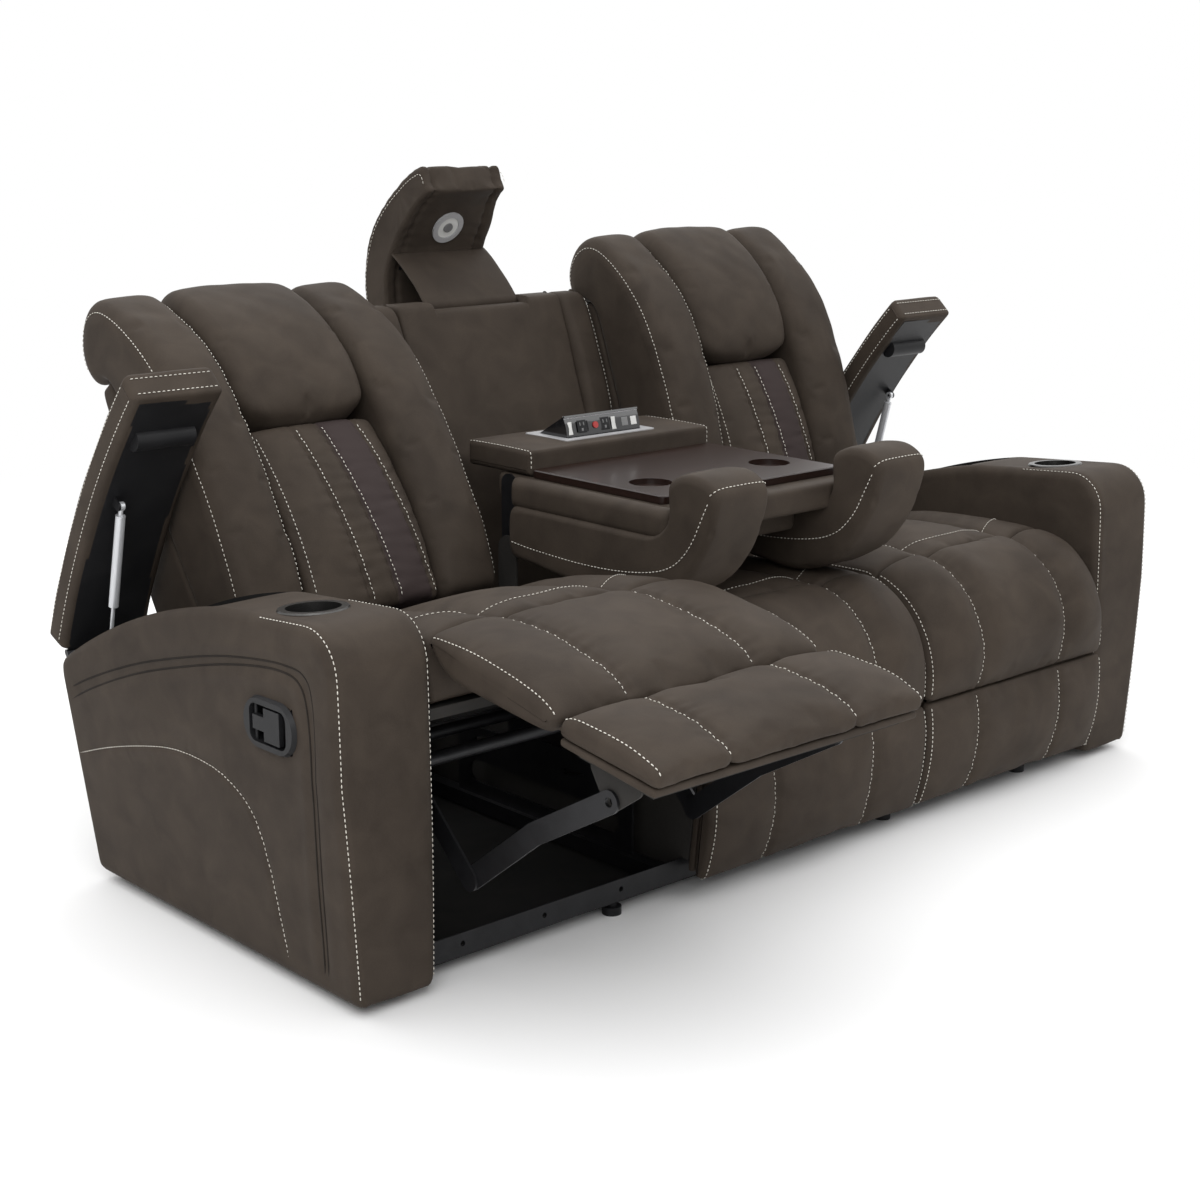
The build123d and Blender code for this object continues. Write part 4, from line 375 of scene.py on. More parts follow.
def sew(body, path, up, pitch=0.0094, length=0.0066, wide=0.00092):
    """Adds a row of stitches to a body's thread: short tapered bars lying along a path on a surface."""
    path, up = np.asarray(path, float), np.asarray(up, float)
    run = np.concatenate([[0.0], np.cumsum(np.linalg.norm(np.diff(path, axis=0), axis=1))])
    rng = np.random.default_rng(len(path) * 7 + int(run[-1] * 1e4))
    verts, faces = threads.setdefault(body, ([], []))
    for at in np.arange(pitch / 2, run[-1] - pitch / 2, pitch):
        ends = at + np.array([-1, -0.55, 0.55, 1]) * length / 2 * rng.uniform(0.92, 1.08)
        spine = np.stack([np.interp(ends, run, path[:, k]) for k in range(3)], 1)
        lift = np.stack([np.interp(at, run, up[:, k]) for k in range(3)])
        lift /= np.linalg.norm(lift) + 1e-12
        way = spine[-1] - spine[0]
        side = np.cross(way / (np.linalg.norm(way) + 1e-12), lift) * wide
        spine = spine + lift * np.array([-0.2, 0.75, 0.75, -0.2])[:, None] * wide
        start = len(verts)
        verts += [spine[0], spine[3]]
        for k in (1, 2):
            high = lift * wide * 0.8
            verts += [spine[k] + side, spine[k] + high, spine[k] - side, spine[k] - high]
        for k in range(4):
            j = (k + 1) % 4
            faces.append((start, start + 2 + k, start + 2 + j))
            faces.append((start + 1, start + 6 + j, start + 6 + k))
            faces.append((start + 2 + k, start + 6 + k, start + 6 + j, start + 2 + j))


def column(grid, xs, seam, rows, lift=0.0006):
    """The line down a pad at one offset, or from one offset to another, over a span of rows, with its normals."""
    n = out_normals(grid)
    span = np.arange(*rows)
    at = np.linspace(*ends_of(seam), len(span))
    k = np.clip(np.searchsorted(xs, at) - 1, 0, len(xs) - 2)
    w = ((at - xs[k]) / (xs[k + 1] - xs[k]))[:, None]
    span = span % len(grid)
    up = (1 - w) * n[span, k] + w * n[span, k + 1]
    return (1 - w) * grid[span, k] + w * grid[span, k + 1] + up * lift, up


def crossing(grid, rows, first, last, lift=0.0006):
    """The line across a pad along one row number for each station, between two stations, with its normals."""
    n = out_normals(grid)
    low = rows.astype(int)
    w, k = (rows - low)[:, None], np.arange(grid.shape[1])
    up = (1 - w) * n[low, k] + w * n[low + 1, k]
    line = (1 - w) * grid[low, k] + w * grid[low + 1, k] + up * lift
    return line[first:last], up[first:last]


def flank(points, x, motion, centre):
    """A smooth line through side-view points on the flat side of a pad at x, with its normals."""
    path = smooth_path(points, 160)
    line = placed(np.column_stack([np.full(len(path), x + math.copysign(0.5, x)), path]), motion, centre)
    return line, sideways(math.copysign(1.0, x), len(path))


def keep(obj, body, material, slot_name, *nodes):
    """Lets a piece ride a body, wear a material and stand for CAD nodes; its slot name is not used."""
    obj.data.materials.append(material)
    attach(obj, body)
    if nodes:
        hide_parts(*nodes)
    return obj


def soft(grids, name, body, fill, *nodes, material=None):
    """A padded piece in hide from closed grids in metres."""
    obj = keep(closed_pad(grids, name), body, material or HIDE, "upholstery", *nodes)
    return obj


def fill(node, values):
    """Sets a node's inputs by name or number."""
    for key, value in values.items():
        node.inputs[key].default_value = value


def wire(tree, *pairs):
    """Links outputs to inputs in a node tree."""
    for source, target in pairs:
        tree.links.new(source, target)


def shader(name, base, rough, metal=0.0, coat=0.0, gleam=0.5):
    """A new material's principled shader and tree, its plain values set."""
    mat = bpy.data.materials.new(name)
    mat.use_nodes = True
    bsdf = mat.node_tree.nodes["Principled BSDF"]
    fill(bsdf, {"Base Color": (*base, 1.0), "Roughness": rough, "Metallic": metal, "Coat Weight": coat,
                "Specular IOR Level": gleam})
    return mat, mat.node_tree, bsdf


def mottle_group():
    """Shared effect: clouds, patches and grain as one colour between two, with the grain as a height."""
    group = bpy.data.node_groups.new("mottle", "ShaderNodeTree")
    face = group.interface
    for name, kind in (("Vector", "NodeSocketVector"), ("Dark", "NodeSocketColor"), ("Light", "NodeSocketColor"),
                       ("Patch", "NodeSocketFloat"), ("Grain", "NodeSocketFloat")):
        face.new_socket(name, in_out="INPUT", socket_type=kind)
    face.new_socket("Color", in_out="OUTPUT", socket_type="NodeSocketColor")
    face.new_socket("Height", in_out="OUTPUT", socket_type="NodeSocketFloat")
    nodes = group.nodes
    given, out = nodes.new("NodeGroupInput"), nodes.new("NodeGroupOutput")
    cloud, patch, grain = (nodes.new("ShaderNodeTexNoise") for _ in range(3))
    base, add, more = (nodes.new("ShaderNodeMath") for _ in range(3))
    base.operation, add.operation, more.operation = "MULTIPLY", "MULTIPLY_ADD", "MULTIPLY_ADD"
    ramp, mix = nodes.new("ShaderNodeMapRange"), nodes.new("ShaderNodeMix")
    mix.data_type = "RGBA"
    for node, values in ((cloud, {"Scale": 3.2, "Detail": 2.0}), (patch, {"Detail": 5.0, "Distortion": 0.6}),
                         (grain, {"Detail": 4.0}), (base, {1: 0.45}), (add, {1: 0.55}), (more, {1: 0.18}),
                         (ramp, {"From Min": 0.42, "From Max": 0.78})):
        fill(node, values)
    wire(group, *((given.outputs["Vector"], node.inputs["Vector"]) for node in (cloud, patch, grain)),
         (given.outputs["Patch"], patch.inputs["Scale"]), (given.outputs["Grain"], grain.inputs["Scale"]),
         (cloud.outputs["Fac"], base.inputs[0]), (patch.outputs["Fac"], add.inputs[0]),
         (base.outputs[0], add.inputs[2]), (grain.outputs["Fac"], more.inputs[0]), (add.outputs[0], more.inputs[2]),
         (more.outputs[0], ramp.inputs["Value"]), (ramp.outputs["Result"], mix.inputs["Factor"]),
         (given.outputs["Dark"], mix.inputs["A"]), (given.outputs["Light"], mix.inputs["B"]),
         (mix.outputs["Result"], out.inputs["Color"]), (grain.outputs["Fac"], out.inputs["Height"]))
    return group


MOTTLE, GRAIN_HEIGHT = mottle_group(), 0.0012


def mottled(name, dark, light, rough, patch=15.0, grain=420.0, bump=0.12, **more):
    """A material whose colour clouds between two tones and whose surface carries a fine grain."""
    mat, tree, bsdf = shader(name, dark, rough, **more)
    place = tree.nodes.new("ShaderNodeTexCoord")
    node = tree.nodes.new("ShaderNodeGroup")
    node.node_tree = MOTTLE
    fill(node, {"Dark": (*dark, 1.0), "Light": (*light, 1.0), "Patch": patch, "Grain": grain})
    rise = tree.nodes.new("ShaderNodeBump")
    fill(rise, {"Strength": bump, "Distance": GRAIN_HEIGHT})
    wire(tree, (place.outputs["Object"], node.inputs["Vector"]), (node.outputs["Color"], bsdf.inputs["Base Color"]),
         (node.outputs["Height"], rise.inputs["Height"]), (rise.outputs["Normal"], bsdf.inputs["Normal"]))
    return mat


def grained(name, dark, light, stretch, scale, rough, **more):
    """A material with long streaks along one direction, for wood or brushed metal."""
    mat, tree, bsdf = shader(name, dark, rough, **more)
    place, fit = tree.nodes.new("ShaderNodeTexCoord"), tree.nodes.new("ShaderNodeMapping")
    noise, mix = tree.nodes.new("ShaderNodeTexNoise"), tree.nodes.new("ShaderNodeMix")
    mix.data_type = "RGBA"
    fill(fit, {"Scale": stretch})
    fill(noise, {"Scale": scale, "Detail": 6.0, "Distortion": 0.8})
    fill(mix, {"A": (*dark, 1.0), "B": (*light, 1.0)})
    wire(tree, (place.outputs["Object"], fit.inputs["Vector"]), (fit.outputs["Vector"], noise.inputs["Vector"]),
         (noise.outputs["Fac"], mix.inputs["Factor"]), (mix.outputs["Result"], bsdf.inputs["Base Color"]))
    return mat


def striped(mat, tint):
    """The material with a tint laid over it where its mesh's stripe attribute is one."""
    tree = mat.node_tree
    base = tree.nodes["Principled BSDF"].inputs["Base Color"]
    source = base.links[0].from_socket
    mark, mix = tree.nodes.new("ShaderNodeAttribute"), tree.nodes.new("ShaderNodeMix")
    mark.attribute_name = "stripe"
    mix.data_type = "RGBA"
    fill(mix, {"B": (*tint, 1.0)})
    wire(tree, (mark.outputs["Fac"], mix.inputs["Factor"]), (source, mix.inputs["A"]), (mix.outputs["Result"], base))
    return mat


HIDE_DARK, HIDE_LIGHT = (0.0325, 0.0248, 0.0192), (0.0550, 0.0426, 0.0328)
HIDE = mottled("suede_hide", HIDE_DARK, HIDE_LIGHT, 0.72, gleam=0.14)
STRIPED = striped(mottled("striped_hide", HIDE_DARK, HIDE_LIGHT, 0.72, gleam=0.14), (0.0385, 0.0282, 0.0272))
THREAD = mottled("cream_thread", (0.50, 0.47, 0.41), (0.80, 0.77, 0.70), 0.7, patch=300.0, grain=2000.0)
STEEL = mottled("black_steel", (0.006, 0.006, 0.007), (0.016, 0.016, 0.018), 0.40, metal=0.4, patch=30.0, bump=0.04)
PLASTIC = mottled("black_plastic", (0.008, 0.008, 0.009), (0.016, 0.016, 0.017), 0.46, grain=900.0, bump=0.1,
                  gleam=0.2)
GLOSS = mottled("gloss_black", (0.006, 0.006, 0.007), (0.012, 0.012, 0.013), 0.14, coat=0.6, bump=0.0)
BOARD = grained("board_wood", (0.008, 0.007, 0.006), (0.020, 0.017, 0.014), (2, 30, 30), 4.0, 0.8)
WALNUT = grained("walnut", (0.008, 0.0042, 0.0034), (0.022, 0.0100, 0.0072), (2.0, 34.0, 34.0), 3.0, 0.30,
                 coat=0.1, gleam=0.3)
BRIGHT = grained("bright_steel", (0.30, 0.30, 0.31), (0.48, 0.48, 0.49), (1.0, 60.0, 60.0), 8.0, 0.34, metal=1.0)
SILVER = grained("silver_paint", (0.40, 0.40, 0.41), (0.50, 0.50, 0.51), (1.0, 60.0, 60.0), 8.0, 0.40, metal=0.3)
CUP_STEEL = grained("cup_steel", (0.030, 0.029, 0.028), (0.10, 0.098, 0.095), (1.0, 60.0, 60.0), 8.0, 0.30, metal=0.9)
STRUT = grained("strut_silver", (0.50, 0.51, 0.53), (0.66, 0.67, 0.69), (40.0, 40.0, 2.0), 6.0, 0.36, metal=0.45)
CHROME = mottled("tube_steel", (0.05, 0.05, 0.05), (0.10, 0.10, 0.10), 0.3, metal=0.9, bump=0.0)
RED = mottled("red_button", (0.30, 0.012, 0.010), (0.44, 0.022, 0.018), 0.35, coat=0.3)
# Darker hide for the welt tubes on the arms: painted shade of the tucks beside the swollen top band.
WELT_SHADE = mottled("welt_painted_tuck_shade", (0.010, 0.0078, 0.0062), (0.022, 0.0170, 0.0134), 0.75, gleam=0.14)
# Near-black cloth: the storage well's own lining, and painted shade where it covers the sheet under the frame and the
# aprons' inner faces.
LINING_AND_SHADE = mottled("black_lining_and_painted_shade", (0.005, 0.005, 0.005), (0.012, 0.011, 0.010), 0.9, grain=700.0, gleam=0.2)
PALE = mottled("pale_plastic", (0.60, 0.60, 0.58), (0.70, 0.70, 0.68), 0.4, bump=0.0)
GREY = mottled("grey_rubber", (0.14, 0.14, 0.14), (0.19, 0.19, 0.19), 0.5, bump=0.0)

FINISH = {"upholstery": HIDE, "black_steel": STEEL, "board": BOARD, "black_plastic": PLASTIC,
          "bright_steel": BRIGHT, "strut_steel": STRUT, "chrome_tube": CHROME, "walnut": WALNUT,
          "gloss_black": GLOSS, "red_button": RED}
OWN_FINISH = {"cup_holders": CUP_STEEL, "light_button": GREY, "light_ring": SILVER, "power_bezel": SILVER}


SEAT_LOW, SEAT_FRONT, SEAT_FRONT_TOP, SEAT_REAR_TOP, SEAT_DRAW = 393.3, 127.0, 505.0, 468.0, 40.0
SEAT_LIP = 0.6
UPPER_SHARE, SOLE_SHARE, SOLE_INSET = 0.62, 0.66, 5.0


def puffed(start, end, rise, count, ends, drop=0):
    """Points from start towards end, swollen to the right of the chord: two half parabolas that meet at full rise
    in the middle and stand at given shares of it at the ends. A drop of -1 or 1 brings the first or last end down
    to the chord."""
    start, end = np.array(start, float), np.array(end, float)
    share = np.linspace(0.0, 1.0, count, endpoint=False)
    away = np.abs(2 * share - 1)
    foot = np.where(share < 0.5, *ends)
    hump = foot + (1 - foot) * (1 - away ** 2)
    if drop:
        hump = np.where((share - 0.5) * drop > 0, hump * (1 - away ** 8), hump)
    chord = end - start
    aside = np.array([chord[1], -chord[0]]) / np.hypot(*chord)
    return start + share[:, None] * chord + (rise * hump)[:, None] * aside


def seat_outline(rear, crown):
    """Seat cushion: flat below, crowned on top, with a full front lip."""
    def outline(full):
        drop = (1 - full) * SEAT_DRAW
        low_f, low_r = (SEAT_FRONT, SEAT_LOW), (rear, SEAT_LOW)
        top_r, top_f = (rear, SEAT_REAR_TOP - drop), (SEAT_FRONT, SEAT_FRONT_TOP - drop)
        lip = (SEAT_FRONT, top_f[1] + SEAT_LIP * crown * full)
        return np.concatenate([arc(low_f, low_r, 0, 14), arc(low_r, top_r, 0, 6),
                               puffed(top_r, top_f, crown * full, 46, (0.0, SEAT_LIP)), arc(lip, low_f, 0, 8)])
    return outline


def thigh_outline(seam, bulge, crown, flat):
    """Thigh pad: a swollen front from the seat's lip to the footrest's seam, flat behind."""
    inner, heel = (seam[0] + SEAM_THICK, seam[1]), (THIGH_TOP[0], THIGH_HEEL)

    def outline(full):
        top = (THIGH_TOP[0], THIGH_TOP[1] + max(0.0, SEAT_LIP * crown * full - (1 - full) * SEAT_DRAW))
        rise = bulge * full
        front = puffed(THIGH_TOP, seam, rise, 46, (0.45, 0.55), 1) if flat else arc(top, seam, rise, 46)
        return np.concatenate([front, arc(seam, inner, 0, 6), arc(inner, heel, 0, 16), arc(heel, THIGH_TOP, 0, 8)])
    return outline


def foot_outline(seam, toe, flat):
    """Upper layer of the footrest: a swollen front from the seam to the toe, flat behind."""
    top, inner_top = (seam[0], seam[1] - SEAM_GAP), (seam[0] + SEAM_THICK * UPPER_SHARE, seam[1] - SEAM_GAP)
    inner_toe = (toe[0] + TOE_THICK * UPPER_SHARE, toe[1])

    def outline(full):
        rise = FOOT_BULGE * full
        front = puffed(top, toe, rise, 36, (0.95, 0.0), -1) if flat else arc(top, toe, rise, 36)
        return np.concatenate([front, arc(toe, inner_toe, 5.0, 8), arc(inner_toe, inner_top, 0, 18),
                               arc(inner_top, top, 0, 6)])
    return outline


def sole_outline(seam, toe):
    """Flat lower layer of the footrest, set in a little from the toe."""
    low = toe[1] + SOLE_INSET
    a, b = (toe[0] + TOE_THICK * SOLE_SHARE, low), (toe[0] + TOE_THICK, low)
    c, d = (seam[0] + SEAM_THICK, seam[1] - SEAM_GAP), (seam[0] + SEAM_THICK * SOLE_SHARE, seam[1] - SEAM_GAP)
    return lambda full: chain((a, 2.0, 6), (b, 0, 24), (c, 0, 6), (d, 0, 24))


TONGUE_IN, TONGUE_OUT, TONGUE_HIGH, TONGUE_LOW, TONGUE_INSET = 13.0, 19.0, 9.0, 14.0, 15.0


def tongue_outline(seam):
    """Fold of the cover that closes the seam of thigh and footrest: a thin strip across it, under the surface."""
    a, b = (seam[0] + TONGUE_IN, seam[1] + TONGUE_HIGH), (seam[0] + TONGUE_IN, seam[1] - TONGUE_LOW)
    c, d = (seam[0] + TONGUE_OUT, seam[1] - TONGUE_LOW), (seam[0] + TONGUE_OUT, seam[1] + TONGUE_HIGH)
    return lambda full: chain((a, 0, 8), (b, 0, 3), (c, 0, 8), (d, 0, 3))


PAD_REAR, PAD_LOW, PAD_DRAW, ROLL_UNDER = 91.7, 78.0, 40.0, (146.0, 676.0)
BOLSTER_HALF, BOLSTER_X, LUMBAR_HALF, PILLOW_LOW = 74.5, 224.5, 146.5, 476.0


def roll_top(draw):
    """Point that the roll over the top of a back passes through, drawn in by half of a pad's draw."""
    return 166.0 - draw / 2, 756.0 - draw / 2


def bolster_outline(full):
    """Upright bolster of a back, rolled over the top of the shell."""
    draw = (1 - full) * PAD_DRAW
    low, shoulder, crest = (-52.0 + draw, PAD_LOW), (-98.0 + draw, 480.0), (38.0, 808.0 - draw)
    return chain(((PAD_REAR, PAD_LOW), 0, 10), (low, -20.0, 40), (shoulder, -34.0, 26), (crest, roll_top(draw), 18),
                 (ROLL_UNDER, 0, 5), ((PAD_REAR, ROLL_UNDER[1]), 0, 40))


def lumbar_outline(full):
    """Lower middle cushion of a back."""
    draw = (1 - full) * PAD_DRAW
    low, high = (-60.0 + draw, PAD_LOW), (-60.0 + draw, PILLOW_LOW - SEAM_GAP)
    return chain(((PAD_REAR, PAD_LOW), 0, 12), (low, -26.0, 40), (high, 0, 12), ((PAD_REAR, high[1]), 0, 26))


def pillow_outline(full):
    """Head pillow of a back, rolled over the top of the shell."""
    draw = (1 - full) * PAD_DRAW
    low, crest = (-82.0 + draw, PILLOW_LOW), (38.0, 822.0 - draw)
    return chain(((PAD_REAR, PILLOW_LOW), 0, 12), (low, -48.0, 40), (crest, roll_top(draw), 18), (ROLL_UNDER, 0, 5),
                 ((PAD_REAR, ROLL_UNDER[1]), 0, 16))


def channels(half):
    """Fullness across a pad with three channels between two seams."""
    return lambda x: (1 - 0.5 * (abs(x) / half) ** 8) * (1 - 0.2 * math.exp(-((abs(x) - SEAM_X) / 30.0) ** 2))


def crowned(half):
    """Fullness across a pad with one crown."""
    return lambda x: 1 - 0.5 * (abs(x) / half) ** 4


SEAMS, PAD_EDGE, FOOT_EDGE, STITCH_OFF, STITCH_IN = (-SEAM_X, SEAM_X), 18.0, 13.0, 6.0, 9.0
STITCH_ROWS, FRONT_ROW, FRONT_BOW = ((46, 138), (2, 91), (2, 82)), 124.0, 18.0


def seat_set(half, rear, crown, seam, toe, bulge, seed, flat=False):
    """Seat, thigh and footrest pads of a seat, each as a grid and its stations, and the footrest's sole and fold."""
    full = channels(half)
    seat = cushion(seat_outline(rear, crown), half, PAD_EDGE, full, 3, (0, 20), (18, 72), SEAMS, seed)
    thigh = cushion(thigh_outline(seam, bulge, crown, flat), half, PAD_EDGE, full, 3, (47, 76), (0, 47), SEAMS,
                    seed + 10)
    foot = cushion(foot_outline(seam, toe, flat), half, FOOT_EDGE, full, 2, (44, 68), (0, 46), SEAMS, seed + 20,
                   cap=9.0)
    sole = loft(sole_outline(seam, toe), spread(half - SOLE_INSET, 5.0, 30), half - SOLE_INSET, 5.0, full, 1)
    wide = half - TONGUE_INSET
    tongue = loft(tongue_outline(seam), spread(wide, 3.0, 20), wide, 2.0, full, 0)
    return seat, thigh, foot, sole, tongue


def seat_pieces(label, pads, motions, centre, bodies, nodes):
    """The three padded pieces of one seat with their rows of stitches."""
    _, seat_at, thigh_at, foot_at = motions
    half = pads[0][1][-1]
    lines = (-SEAM_X - STITCH_OFF, SEAM_X - STITCH_OFF, -half + STITCH_IN, half - STITCH_IN)
    top, front, foot = (placed(pads[k][0], at, centre) for k, at in ((0, seat_at), (1, thigh_at), (2, foot_at)))
    soft([top], f"{label}_seat_top", bodies[0], 0.7, *nodes[0])
    soft([front], f"{label}_thigh_front", bodies[1], 0.7, *nodes[1])
    under = [placed(grid, foot_at, centre) for grid in pads[3:]]
    soft([foot] + under, f"{label}_footrest_front", bodies[2], 0.7, *nodes[2])
    for k, (grid, rows) in enumerate(zip((top, front, foot), STITCH_ROWS)):
        for at in lines:
            sew(bodies[k], *column(grid, pads[k][1], at, rows))
    rows = FRONT_ROW - FRONT_BOW * (pads[0][1] / half) ** 2
    sew(bodies[0], *crossing(top, rows, 12, -12))


SEAT_REAR, SEAT_CROWN, CENTRE_REAR, CENTRE_CROWN = 606.0, 40.0, 562.0, 26.0
shut_pads = seat_set(PAD_HALF, SEAT_REAR, SEAT_CROWN, SHUT_SEAM, SHUT_TOE, SHUT_BULGE, 11)
long_pads = seat_set(PAD_HALF, SEAT_REAR, SEAT_CROWN, LONG_SEAM, LONG_TOE, LONG_BULGE, 12, True)
mid_pads = seat_set(CENTRE_HALF, CENTRE_REAR, CENTRE_CROWN, SHUT_SEAM, SHUT_TOE, SHUT_BULGE, 13)
for (side, label), opened, seam, pads in zip(SIDES, (1.0, 0.0), (LONG_SEAM, SHUT_SEAM), (long_pads, shut_pads)):
    seat_pieces(label, pads, seat_motions(opened, seam), side * SEAT_X,
                [f"{label}_{body}" for body in ("seat", "thigh", "footrest")],
                [[f"{label}_{node}"] for node in ("seat_cushion", "thigh_pad", "footrest_pad")])
seat_pieces("centre", mid_pads, (STILL,) * 4, 0.0, ("frame",) * 3,
            (["centre_seat_cushion"], ["centre_front_pads"], []))

LUMBAR_SEAMS = ((-140.0, -137.0), (-25.0, -50.0), (38.0, 7.0), (126.0, 92.0))
BOLSTER_LINES, INNER_LINE, LUMBAR_ROWS = (69.0, (24, 184)), (64.0, (24, 170)), (26, 102)
PILLOW_ROUND, PILLOW_REACH, STRIPE_ROWS, STRIPE_FADE = 34.0, 130.0, (24, 104), 3.0
bolster = cushion(bolster_outline, BOLSTER_HALF, 24.0, crowned(BOLSTER_HALF), 4, (94, 139), (8, 95), (), 21, count=22)
lumbar = cushion(lumbar_outline, LUMBAR_HALF, 16.0, crowned(LUMBAR_HALF), 3, (52, 90), (12, 52), LUMBAR_SEAMS[1:], 22)
pillow = cushion(pillow_outline, LUMBAR_HALF, 30.0, crowned(LUMBAR_HALF), 5, (72, 91), (3, 72), (), 23, cap=18.0)
foot_share = np.clip(1 - (pillow[0][..., 2] - PILLOW_LOW) / PILLOW_REACH, 0, 1)
pillow[0][..., 2] += PILLOW_ROUND * (pillow[1][None] / LUMBAR_HALF) ** 4 * foot_share
SHELL_HALF, SHELL_EDGE, SHELL_FRONT, SHELL_REAR, SHELL_LOW, SHELL_TOP = 293.0, 12.0, 92.0, 140.0, -110.0, 675.7
SHELL_BELLY = ((156, -50), (198, 30), (238, 135), (246, 262), (218, 390), (170, 490), (152, 580))


def shell_outline(full):
    """Rear shell of a back, its rear fullest below the middle."""
    low_f, low_r = (SHELL_FRONT, SHELL_LOW), (SHELL_REAR, SHELL_LOW)
    top_r, top_f = (SHELL_REAR, SHELL_TOP), (SHELL_FRONT, SHELL_TOP)
    rear = smooth_path([low_r, *SHELL_BELLY, top_r], 61)[:-1]
    return np.concatenate([arc(low_f, low_r, 0, 8), rear, arc(top_r, top_f, 0, 8), arc(top_f, low_f, 0, 60)])


EAR_X, EAR_THICK, EAR_R = 274.25, 5.0, 22.0


def ear_outline(full):
    """Plate that carries the back on its pivot: a long hole's outline from the pivot to the shell."""
    return chain(((SHELL_FRONT, -EAR_R), 0, 12), ((SHELL_FRONT, EAR_R), 0, 24), ((0, EAR_R), -EAR_R, 24),
                 ((0, -EAR_R), 0, 24))


shell = loft(shell_outline, spread(SHELL_HALF, SHELL_EDGE, 36), SHELL_HALF, SHELL_EDGE, crowned(SHELL_HALF), 1)
shell = rippled(shell, 1.4, 24, 260.0)
ear = loft(ear_outline, spread(EAR_THICK / 2, 1.0, 3), EAR_THICK / 2, 1.0, crowned(EAR_THICK), 0)
near_seam, far_seam = (np.interp(np.arange(len(lumbar[0])), STRIPE_ROWS, seam)[:, None] for seam in LUMBAR_SEAMS[2:])
stripe = np.clip((lumbar[1][None] - near_seam) / STRIPE_FADE, 0, 1)
stripe *= np.clip((far_seam - lumbar[1][None]) / STRIPE_FADE, 0, 1)
CREST_REACH, LEFT_LIFT = 330.0, 15.0


def raised(grid, lift):
    """A back pad's own points with the part above the lumbar cushion drawn up towards its crest."""
    out = grid.copy()
    out[..., 2] += lift * np.clip((out[..., 2] - PILLOW_LOW) / CREST_REACH, 0, 1)
    return out


for (side, label), opened, tilt, lift in zip(SIDES, (1.0, 0.0), (LEFT_TILT, RIGHT_TILT), (LEFT_LIFT, 0.0)):
    body, centre, pose = f"{label}_back", side * SEAT_X, back_motion(opened, tilt)
    pair = [placed(raised(bolster[0], lift), pose, centre + way * BOLSTER_X) for way in (-1, 1)]
    soft(pair, f"{label}_bolsters", body, 0.75, f"{label}_back_bolsters")
    for way, grid in zip((-1, 1), pair):
        sew(body, *column(grid, bolster[1], way * BOLSTER_LINES[0], BOLSTER_LINES[1]))
    sew(body, *column(pair[0], bolster[1], *INNER_LINE))
    grid = placed(lumbar[0], pose, centre)
    obj = soft([grid], f"{label}_lumbar", body, 0.7, f"{label}_back_lumbar", material=STRIPED)
    values = np.zeros(len(obj.data.vertices))
    values[:stripe.size] = stripe.reshape(-1)
    obj.data.attributes.new("stripe", "FLOAT", "POINT").data.foreach_set("value", values)
    for seam in LUMBAR_SEAMS:
        sew(body, *column(grid, lumbar[1], tuple(at + STITCH_OFF for at in seam), LUMBAR_ROWS))
    soft([placed(raised(pillow[0], lift), pose, centre)], f"{label}_pillow", body, 0.85, f"{label}_back_pillow")
    ears = [placed(ear, pose, centre + way * (EAR_X - EAR_THICK / 2)) for way in (-1, 1)]
    soft([placed(shell, pose, centre)] + ears, f"{label}_shell", body, 0.4, f"{label}_back_frame")


RIM_A, RIM_B, RIM_RISE = np.array([338.0, 628.0]), np.array([891.0, 427.0]), 27.0
RIM_CHORD = float(np.hypot(*(RIM_B - RIM_A)))
RIM_R = (RIM_CHORD ** 2 / 4 + RIM_RISE ** 2) / (2 * RIM_RISE)
RIM_OUT = np.array([(RIM_B - RIM_A)[1], -(RIM_B - RIM_A)[0]]) / RIM_CHORD
RIM_C = (RIM_A + RIM_B) / 2 + RIM_OUT * (RIM_R - RIM_RISE)


def rim(depth):
    """Height of the arm's rim at a depth: the arc about the rim's centre."""
    return RIM_C[1] + math.sqrt(RIM_R ** 2 - (depth - RIM_C[0]) ** 2)


BIN_A, BIN_B, BIN_HALF, BIN_FLOOR = 366.0, 846.0, 77.0, 330.0
ARM_COUNTS = (70, 16, 34, 4, 62, 6, 56, 96)
ARM_FOOT, ARM_NOSE, ARM_SHOULDER, ARM_HEEL = (0, 18), (0, 570), (78, 648), (842, 18)


def arm_outline(full):
    """Side outline of an arm: up the front, over the top, down the rim's arc and the rear, back below."""
    a, b = (BIN_A, rim(BIN_A)), (BIN_B, rim(BIN_B))
    over = [arc(ARM_FOOT, ARM_NOSE, -5.0, ARM_COUNTS[0]), arc(ARM_NOSE, ARM_SHOULDER, -22.8, ARM_COUNTS[1]),
            arc(ARM_SHOULDER, RIM_A, 0, ARM_COUNTS[2])]
    for start, end, count in zip((RIM_A, a, b), (a, b, RIM_B), ARM_COUNTS[3:6]):
        depth = np.linspace(start[0], end[0], count, endpoint=False)
        over.append(np.column_stack([depth, [rim(d) for d in depth]]))
    over += [arc(RIM_B, ARM_HEEL, 0, ARM_COUNTS[6]), arc(ARM_HEEL, ARM_FOOT, 0, ARM_COUNTS[7])]
    return np.concatenate(over)


ARM_XS = np.unique(np.concatenate([spread(ARM_HALF, ARM_EDGE, 22), [-BIN_HALF, BIN_HALF]]))


def polyline_distance(depth, height, path):
    """Distance of points from a polyline in the side view."""
    best = np.full(depth.shape, 1e9)
    for (d0, z0), (d1, z1) in zip(path[:-1], path[1:]):
        run = np.array([d1 - d0, z1 - z0])
        share = np.clip(((depth - d0) * run[0] + (height - z0) * run[1]) / (run @ run), 0, 1)
        away = np.hypot(depth - d0 - share * run[0], height - z0 - share * run[1])
        best = np.minimum(best, away)
    return best


